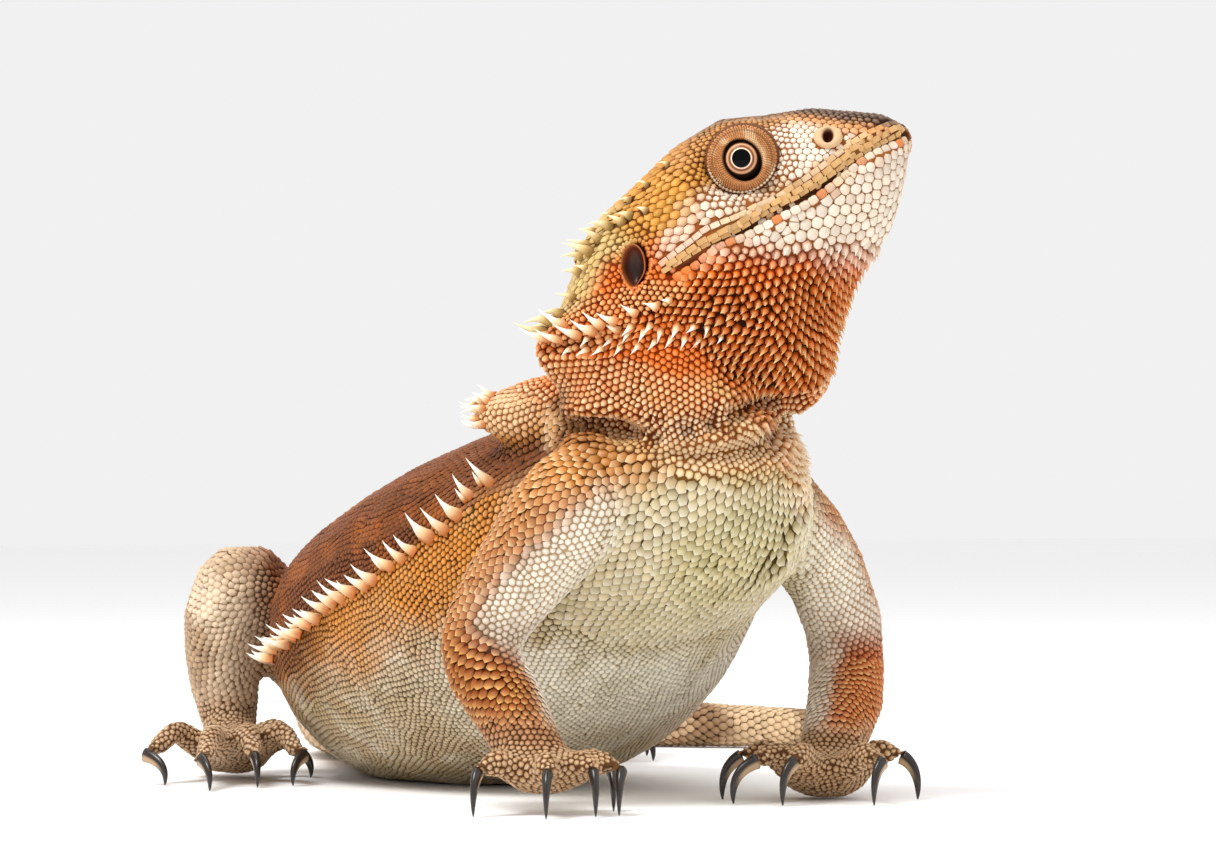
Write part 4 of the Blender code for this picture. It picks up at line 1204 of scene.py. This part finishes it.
def beadLids(axes, centre):
    for number, spot in enumerate(np.linspace(lidBeads["first"], lidBeads["last"], lidBeads["rows"])):
        cream = number == lidBeads["creamRow"]
        bead = lidBeads["cream"] if cream else lidBeads["bead"] - lidBeads["finer"] * number
        wide, tall, down, rise = lidAt(spot)
        turn = roundOval(wide, tall, bead, number % 2)
        count = len(turn)
        local = np.stack([np.cos(turn) * wide, np.sin(turn) * tall + down, np.full(count, rise)], axis=1)
        nextWide, nextTall, nextDown, nextRise = lidAt(spot + 0.2)
        inner = [np.cos(turn) * nextWide, np.sin(turn) * nextTall + nextDown, np.full(count, nextRise)]
        inwards = unit(np.stack(inner, axis=1) - local)
        roundly = unit(np.stack([-np.sin(turn) * wide, np.cos(turn) * tall, np.zeros(count)], axis=1))
        outwards = unit(np.cross(inwards, roundly))
        outwards *= np.sign(outwards[:, 2:3] + 0.3)
        places = centre + local @ axes * mm

        # tan, with pale patches and painted highlight arcs, painted shade in the folds between rows, darker
        # in the rows by the opening, and cream under the eye
        low = ramp(0.86 * np.sin(turn) - 0.51 * np.cos(turn), 0.1, 0.5)
        colour = fromScreen(lidTones["tan"]) * (0.85 + 0.3 * dice.random(count))[:, None]
        paleAndHighlight = ramp(wobble(places, 1.6, 21) + 0.5 * np.sin(turn - 0.4 * number), 0.1, 0.6)
        colour = mix(colour, fromScreen(lidTones["light"]), paleAndHighlight * (number > 3) * 0.55)
        fold = 0.8 * (number < 3) + 0.7 * (number == 4) * low + 0.5 * (number == 6) * (1 - low)
        dark = np.clip(0.8 * ramp(number, 11.2, 13) + fold, 0, 1)
        colour = mix(colour, fromScreen(lidTones["edge"]), dark)
        colour = mix(colour, fromScreen(lidTones["bead"]), low * cream)
        many = np.full(count, bead * mm)
        # each bead's seam and tip are darker and lighter copies of its colour: painted shade at its base,
        # painted highlight on its top
        stamp("coat_face", "granule", places, outwards @ axes, inwards @ axes, many,
              many * (1 + 0.4 * low * cream), many * 0.75, [colour * 0.85, colour * 1.15, colour * 0.4],
              uvAt(places))


earTaper = {"share": 0.3, "inside": 0.38, "from": 0.5, "to": 3.6}  # the ears are slimmer at their lower end


def taper(up, share):
    return 1 - share * ramp(-up, earTaper["from"], earTaper["to"])


def modelEar(name, place, axes):
    ear, local = ovalPiece("ear_" + name, earRings, place, axes, 40)
    local[:, 0] *= taper(local[:, 1], earTaper["inside"])
    putVerts(ear, place + local @ axes * mm)
    # lighter towards the outside and towards the top: painted shade deep in the ear and a painted sheen on
    # its upper part
    paintedSheen = ramp(local[:, 2], -1.9, -0.6) * 0.3 + 0.25 * ramp(local[:, 1], -0.5, 2.5)
    shade = mix(fromScreen(earTones["dark"]), fromScreen(earTones["paintedSheen"]), paintedSheen)
    addTint(ear, mix(shade, fromScreen(earTones["edge"]), ramp(local[:, 2], -0.1, 0.15)))
    return ear


def beadEar(place, axes):
    for ring, (wide, tall, bead) in enumerate(((2.5, 3.95, 0.72), (3.1, 4.6, 0.8))):
        turn = roundOval(wide, tall, bead, ring)
        count = len(turn)
        up = np.sin(turn) * tall
        across = np.cos(turn) * wide * taper(up, earTaper["share"])
        points = place + np.stack([across, up, np.full(count, 0.2)], axis=1) @ axes * mm
        at, out, _, tints = growOn(points)
        away = unit(np.stack([np.cos(turn), np.sin(turn), np.zeros(count)], axis=1) @ axes)
        many = np.full(count, bead * mm)
        stamp("coat_face", "granule", at, out, away, many, many * 1.25, many, tints, uvAt(at))
        taken.extend((point, bead * 1.1) for point in at)


def modelNostril(name, place, axes):
    nostril, local = ovalPiece("nostril_" + name, nostrilRings, place, axes, 32)
    # dark inside the opening: painted shade in the nostril
    away = np.hypot(local[:, 0] / 0.9, local[:, 1] / 1.25)
    inside = ramp(-away, -1.25, -0.9) * (local[:, 2] > -2)
    addTint(nostril, mix(fromScreen(nostrilTones["edge"]), fromScreen(nostrilTones["dark"]), inside))
    return nostril


eyes, extras = [], []
for side, name in ((-1, "right"), (1, "left")):
    _, axes = openingAxes("eye", side)
    centre = middleOf("eye_" + name)
    front = centre + axes[2] * (eyeMake["radius"] + eyeMake["cornea"]) * mm
    eyes.append((modelEye(name, axes, centre), front, "eye_" + name))
    extras.append((modelLids(name, axes, centre), "skin", "head_skin"))
    beadLids(axes, centre)
    extras.append((modelEar(name, *openingAxes("ear", side)), "wet", "head_skin"))
    beadEar(*openingAxes("ear", side))
    extras.append((modelNostril(name, *openingAxes("nostril", side)), "skin", "head_skin"))
print("eyes, ears and nostrils done")


def kindOfScale(points, group, out):
    # of the rules that a place meets, the last one holds
    h, b = inHead(points), inBody(points)
    a, n = h[:, 0], h[:, 2]
    overBeard, overJowl, overSnout = overLines(h)
    onHead, onTrunk, onArm = (group == k for k in (0, 2, 3))
    onBeard = onHead & (overBeard < 0.5)
    onJowl = onHead & (a < 13) & (n > -9)
    eyeRound = reachFrom("eye", points, openingEdge) < 1.5
    earRound = reachFrom("ear", points, openingEdge) < 2.2
    upwards = out[:, 2] > 0.35
    kind = np.full(len(points), "granule", dtype=object)
    rules = [
        ("plate", onHead),
        ("shingle", onBeard),
        ("spiny", onBeard & (n < -9.5 + 0.12 * a)),
        ("keeled", onHead & (a < 24) & (n > -2)),
        ("granule", onJowl & (n < 3) & (overJowl < 3.5)),
        ("granule", onHead & (overSnout > 8.4) & (a > 36)),
        ("granule", onHead & (eyeRound | earRound)),
        ("bead", onJowl & (n < 1) & (overJowl < 2.5)),
        ("bead", pouchShare(b) * (group < 2) > 0.5),
        ("keeled", onTrunk & upwards),
        ("shingle", onTrunk & (b[:, 1] < 6) & ~upwards),
        ("shingle", onArm),
        ("granule", onArm & (innerArm(b, out) > 0.6) & (b[:, 2] > 24)),
        ("keeled", np.isin(group, (5, 7))),
    ]
    for name, where in rules:
        kind[where] = name
    return kind


coatOf = {"head": "head", "lower_jaw": "face", "beard": "beard", "neck": "neck", "upper_arm": "arms",
          "forearm": "arms", "hand": "hands", "thigh": "legs", "shank": "legs", "foot": "feet",
          "tail": "tail"}


def coatNames(points, face, out):
    # the coat piece that each scale belongs to; on the trunk, the last rule that a place meets holds
    nodes = skinNode[skinFaces[face, 0]]
    result = np.full(len(points), "coat_trunk", dtype=object)
    for number, name in enumerate(fleshNodes):
        for start, coat in coatOf.items():
            if name.startswith(start):
                result[nodes == number] = "coat_" + coat
    x, y, _ = inBody(points).T
    onTrunk = np.isin(np.array(fleshNodes)[nodes], ("trunk", "hips"))
    front, rear, upwards = y < 6, y > 84, out[:, 2] > 0.4
    rules = [("flank_right", x < -3), ("flank_left", x >= -3), ("back", upwards), ("rump", upwards & rear),
             ("chest", front & ~upwards), ("belly", (out[:, 2] < -0.6) & ~front), ("hips", rear & ~upwards)]
    for coat, where in rules:
        result[onTrunk & where] = "coat_" + coat
    return result


def mouthEdge(points, out, flow, pace):
    # the mouth as a neighbour of each scale beside it, so that they end along one line, and how far off it is
    line, _ = landOnSkin(np.concatenate([curveThrough(headLine(side, mouthLine), 40) for side in (-1, 1)]))
    tree = treeOf(line)
    found = [tree.find(point) for point in points.tolist()]
    away = np.array([hit[0] for hit in found]) - points
    gap = np.array([hit[2] for hit in found])
    local = np.stack([(away * np.cross(flow, out)).sum(1), (away * flow).sum(1)], axis=1)
    local = local / np.maximum(np.linalg.norm(local, axis=1, keepdims=True), 1e-9)
    reach = np.maximum(gap - 0.16 * mm, 0.1 * mm) / pace
    near = gap < 2.2 * mm
    return np.where(near[:, None], local * 2 * reach[:, None], 99), gap / mm


def clearOf(points, size):
    # whether scales stand clear of the spines and of the beads round the ears
    tree = treeOf(np.array([point for point, _ in taken]))
    found = [tree.find(point)[1:] for point in points.tolist()]
    wide = np.array([taken[which][1] for which, _ in found])
    return np.array([gap for _, gap in found]) >= (wide * 0.4 + 0.1 * size) * mm


def dressBody():
    points, face = roots, rootFace
    lips = np.arange(len(points)) < lipCount
    out, flow = unit(faceValues(skinLean, face)), unit(faceValues(skinFlow, face))
    flow[lips] = alongSurface(lipPlates["run"], out[lips])
    size = faceValues(skinSize, face)

    # each scale is fitted to its neighbours and the mouth, and the plates of the lips are oblongs
    near, _ = neighbours(points, out, flow, size * mm, 9)
    edge, gap = mouthEdge(points, out, flow, size * mm)
    near = np.concatenate([near, edge[:, None]], axis=1)
    high, long = (lipPlates[key] / size[lips] for key in ("high", "long"))
    ends = np.full((lipCount, near.shape[1], 2), 99.0)
    ends[:, :4] = 0
    ends[:, 0, 0], ends[:, 1, 0], ends[:, 2, 1], ends[:, 3, 1] = high, -high, long, -long
    near[lips] = ends

    keep = (gap > 0.3) & clearOf(points, size)
    for name in openingClear:
        keep &= reachFrom(name, points, openingClear) > 1
    keep |= lips
    group = skinGroup[skinFaces[face, 0]]
    tints = [faceValues(layer, face) for layer in (skinBody, skinTip, skinSeam)]
    for layer, key in zip(tints, ("body", "tip", "seam")):
        layer[lips] = lipPlates[key]
    points, face, out, flow, size, group, near, lips, *tints = (
        field[keep] for field in (points, face, out, flow, size, group, near, lips, *tints))
    kind = kindOfScale(points, group, out)
    kind[lips] = "slab"
    names = coatNames(points, face, out)
    tints[0] = tints[0] * (0.86 + 0.28 * dice.random(len(points)))[:, None]
    tints[1] = mix(tints[0], tints[1], 0.45 + 0.55 * dice.random(len(points)))
    uv = uvAt(points)
    wide = size * mm
    tall = wide * (0.85 + 0.3 * dice.random(len(points))) * np.where(group == 0, 1, 0.9)
    for coat in np.unique(names):
        for one in np.unique(kind[names == coat]):
            use = (names == coat) & (kind == one)
            stamp(coat, one, points[use], out[use], flow[use], wide[use], wide[use], tall[use],
                  [layer[use] for layer in tints], uv[use], near[use])


dressBody()
coatPieces = [buildCoat(name, entry) for name, entry in sorted(coats.items())]
print("coat:", sum(len(coat.data.polygons) for coat in coatPieces), "triangles")

# Sides and rings; radius in mm at the root and at the tip; depth and width in radii.
clawMake = {"sides": 14, "rings": 12, "root": 1.2, "tip": 0.12, "deep": 1.15, "slim": 0.8, "overFloor": 0.02}
clawTones = {"root": (176, 146, 112), "horn": (36, 27, 22)}


def modelClaw(node, name):
    # a curved claw from the CAD claw's root to its tip
    places = vertsOf(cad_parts[node])
    tip = places[places[:, 2] < places[:, 2].min() + 0.3 * mm].mean(0)
    far = np.linalg.norm(places - tip, axis=1)
    root = places[far > far.max() - 1.6 * mm].mean(0)
    tip = tip + np.array([0, 0, 0.05]) * mm
    bend = np.array([*(root[:2] + (tip[:2] - root[:2]) * 1.25), root[2] * 0.8])
    start = root + (root - bend) * 0.3
    steps = clawMake["rings"]
    layers = [(k / steps, 1 - k / steps * 0.01, 1 - k / steps * 0.01, 0) for k in range(steps + 1)]
    claw = ringStack(name, clawMake["sides"], layers, 1)
    local = vertsOf(claw)
    t = local[:, 2:3]
    line = start * (1 - t) ** 2 + bend * 2 * t * (1 - t) + tip * t ** 2
    ahead = unit((bend - start) * (1 - t) + (tip - bend) * t)
    outward = unit(np.array([tip[0] - root[0], tip[1] - root[1], 0]) + 1e-9)
    side = np.cross(outward, np.array([0.0, 0.0, 1.0]))
    top = unit(np.cross(side, ahead))
    radius = (clawMake["root"] * (1 - t) ** 0.7 + clawMake["tip"] * t) * mm
    rim = side * local[:, 0:1] * clawMake["slim"] + top * local[:, 1:2] * clawMake["deep"]
    places = line + rim * radius
    places[:, 2] = np.maximum(places[:, 2], clawMake["overFloor"] * mm)
    putVerts(claw, places)
    faceOutwards(claw)
    claw.data.shade_smooth()
    under = ramp(local[:, 1] * np.sign(top[:, 2] + 1e-6), -0.3, 0.35)
    dark = ramp(under + 1.2 * local[:, 2] - 0.35, 0, 0.6)
    addTint(claw, mix(fromScreen(clawTones["root"]), fromScreen(clawTones["horn"]), dark))
    return claw


claws = [(modelClaw(node, node.replace("claw", "nail")), node) for node in sorted(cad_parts)
         if node.startswith("claw")]
print("claws:", len(claws))


def newMaterial(name):
    material = bpy.data.materials.new(name)
    material.use_nodes = True
    nodes = material.node_tree.nodes
    return material, nodes, material.node_tree.links, nodes["Principled BSDF"]


def setInputs(node, values):
    for name, value in values.items():
        node.inputs[name].default_value = value


def tintedFinish(name, roughness, grain, relief, variation, shine):
    # the piece's own tint, with a fine speckle that is also its relief
    material, nodes, links, surface = newMaterial(name)
    tint = nodes.new("ShaderNodeAttribute")
    tint.attribute_name = "tint"
    place = nodes.new("ShaderNodeTexCoord")
    speckle = nodes.new("ShaderNodeTexNoise")
    setInputs(speckle, {"Scale": grain, "Detail": 3})
    links.new(place.outputs["Object"], speckle.inputs["Vector"])
    light = nodes.new("ShaderNodeMapRange")
    setInputs(light, {"To Min": 1 - variation, "To Max": 1 + variation})
    links.new(speckle.outputs["Fac"], light.inputs["Value"])
    scaled = nodes.new("ShaderNodeVectorMath")
    scaled.operation = "SCALE"
    links.new(tint.outputs["Color"], scaled.inputs[0])
    links.new(light.outputs["Result"], scaled.inputs["Scale"])
    links.new(scaled.outputs["Vector"], surface.inputs["Base Color"])
    bump = nodes.new("ShaderNodeBump")
    setInputs(bump, {"Strength": relief, "Distance": 0.0001})
    links.new(speckle.outputs["Fac"], bump.inputs["Height"])
    links.new(bump.outputs["Normal"], surface.inputs["Normal"])
    setInputs(surface, {"Roughness": roughness, "Specular IOR Level": shine})
    return material


# The colours of the pupil and iris by distance in mm from the middle of the front of the eye; past the iris
# the eyeball is near black, painted shade under the lids.
irisReach = 5
irisStops = [(0, (2, 2, 3)), (1.6, (3, 3, 4)), (1.68, (252, 230, 206)), (1.8, (240, 198, 164)),
             (1.92, (150, 92, 60)), (2.15, (112, 64, 42)), (2.35, (190, 138, 102)), (2.6, (222, 172, 130)),
             (2.78, (132, 82, 54)), (2.92, (34, 24, 18)), (irisReach, (10, 8, 8))]
eyeShine = {"Roughness": 0.1, "Specular IOR Level": 0.0, "Coat Weight": 1.0, "Coat IOR": 1.18,
            "Coat Roughness": 0.02}


def eyeFinish(name, centre):
    material, nodes, links, surface = newMaterial(name)
    place = nodes.new("ShaderNodeTexCoord")
    move = nodes.new("ShaderNodeMapping")
    move.inputs["Location"].default_value = tuple(-centre)
    away = nodes.new("ShaderNodeVectorMath")
    away.operation = "LENGTH"
    ring = nodes.new("ShaderNodeMapRange")
    ring.inputs["From Max"].default_value = irisReach * mm
    colours = nodes.new("ShaderNodeValToRGB")
    marks = colours.color_ramp.elements
    for distance, _ in irisStops[1:-1]:
        marks.new(distance / irisReach)
    for mark, (_, tone) in zip(marks, irisStops):
        mark.color = (*fromScreen(tone), 1)
    links.new(place.outputs["Object"], move.inputs["Vector"])
    links.new(move.outputs["Vector"], away.inputs[0])
    links.new(away.outputs["Value"], ring.inputs["Value"])
    links.new(ring.outputs["Result"], colours.inputs["Fac"])
    links.new(colours.outputs["Color"], surface.inputs["Base Color"])
    setInputs(surface, eyeShine)
    return material


# Each finish: name, roughness, how fine its speckle is, relief, variation of the colour, and shine.
finishes = {
    "skin": tintedFinish("bareSkin", 0.7, 900, 0.4, 0.10, 0.1),
    "scales": tintedFinish("scales", 0.4, 1300, 0.3, 0.12, 0.12),
    "wet": tintedFinish("earSkin", 0.35, 700, 0.3, 0.15, 0.25),
    "claw": tintedFinish("clawHorn", 0.25, 500, 0.25, 0.18, 0.5),
}

pick(skin)
bpy.ops.object.shade_smooth()
skin.data.materials.append(finishes["skin"])
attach(skin, "root")
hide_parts(*fleshNodes)
for coat in coatPieces:
    coat.data.materials.append(finishes["scales"])
    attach(coat, "root")
for piece, finish, slot in extras:
    piece.data.materials.append(finishes[finish])
    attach(piece, "root")
for eye, centre, node in eyes:
    eye.data.materials.append(eyeFinish(eye.name + "_finish", centre))
    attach(eye, "root")
    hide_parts(node)
for claw, node in claws:
    claw.data.materials.append(finishes["claw"])
    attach(claw, "root")
    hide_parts(node)
print("finishes done")

room = {"size": 6, "floor": (0.97, 0.97, 0.968), "world": 0.88}  # metres, colour, and strength of the light


def buildRoom():
    deselect()
    bpy.ops.mesh.primitive_plane_add(size=room["size"], location=(0, 0, -0.0001))
    floor = bpy.context.object
    floor.name = "floor"
    bpy.ops.object.transform_apply(location=True)
    material, _, _, surface = newMaterial("paper")
    setInputs(surface, {"Base Color": (*room["floor"], 1), "Roughness": 0.8})
    floor.data.materials.append(material)
    world = bpy.data.worlds.new("studio")
    bpy.context.scene.world = world
    world.use_nodes = True
    setInputs(world.node_tree.nodes["Background"], {"Color": (1, 1, 1, 1), "Strength": room["world"]})
    bpy.context.scene.view_settings.view_transform = "Standard"


lamps = [  # azimuth and height angle in degrees, distance and size in metres, watts
    ("key", -62, 52, 0.9, 0.4, 6.0),
    ("fill", 40, 25, 1.0, 0.8, 0.8),
    ("top", 150, 75, 0.9, 0.8, 2),
]


def buildLamps(aim):
    for name, azimuth, rise, distance, size, power in lamps:
        a, e = math.radians(azimuth), math.radians(rise)
        data = bpy.data.lights.new(name, "AREA")
        data.shape = "DISK"
        data.size = size
        data.energy = power
        lamp = bpy.data.objects.new(name, data)
        away = Vector((math.sin(a) * math.cos(e), -math.cos(a) * math.cos(e), math.sin(e)))
        lamp.location = aim + away * distance
        lamp.rotation_euler = (-away).to_track_quat("-Z", "Y").to_euler()
        bpy.context.scene.collection.objects.link(lamp)


camera = {"azimuth": -25, "lens": 162.5, "place": (-410, -846, 57), "rise": 0.4}  # degrees, mm


def buildCamera():
    data = bpy.data.cameras.new("camera")
    data.lens = camera["lens"]
    data.sensor_width = 36
    data.clip_start = 0.01
    lens = bpy.data.objects.new("camera", data)
    lens.location = Vector(atBody(*camera["place"]))
    turn, rise = math.radians(-camera["azimuth"]), math.radians(camera["rise"])
    ahead = Vector((math.sin(turn) * math.cos(rise), math.cos(turn) * math.cos(rise), math.sin(rise)))
    lens.rotation_euler = ahead.to_track_quat("-Z", "Y").to_euler()
    bpy.context.scene.collection.objects.link(lens)
    bpy.context.scene.camera = lens


buildRoom()
buildLamps(Vector((cadBox[0] + cadBox[1]) / 2))
buildCamera()
print("room done")
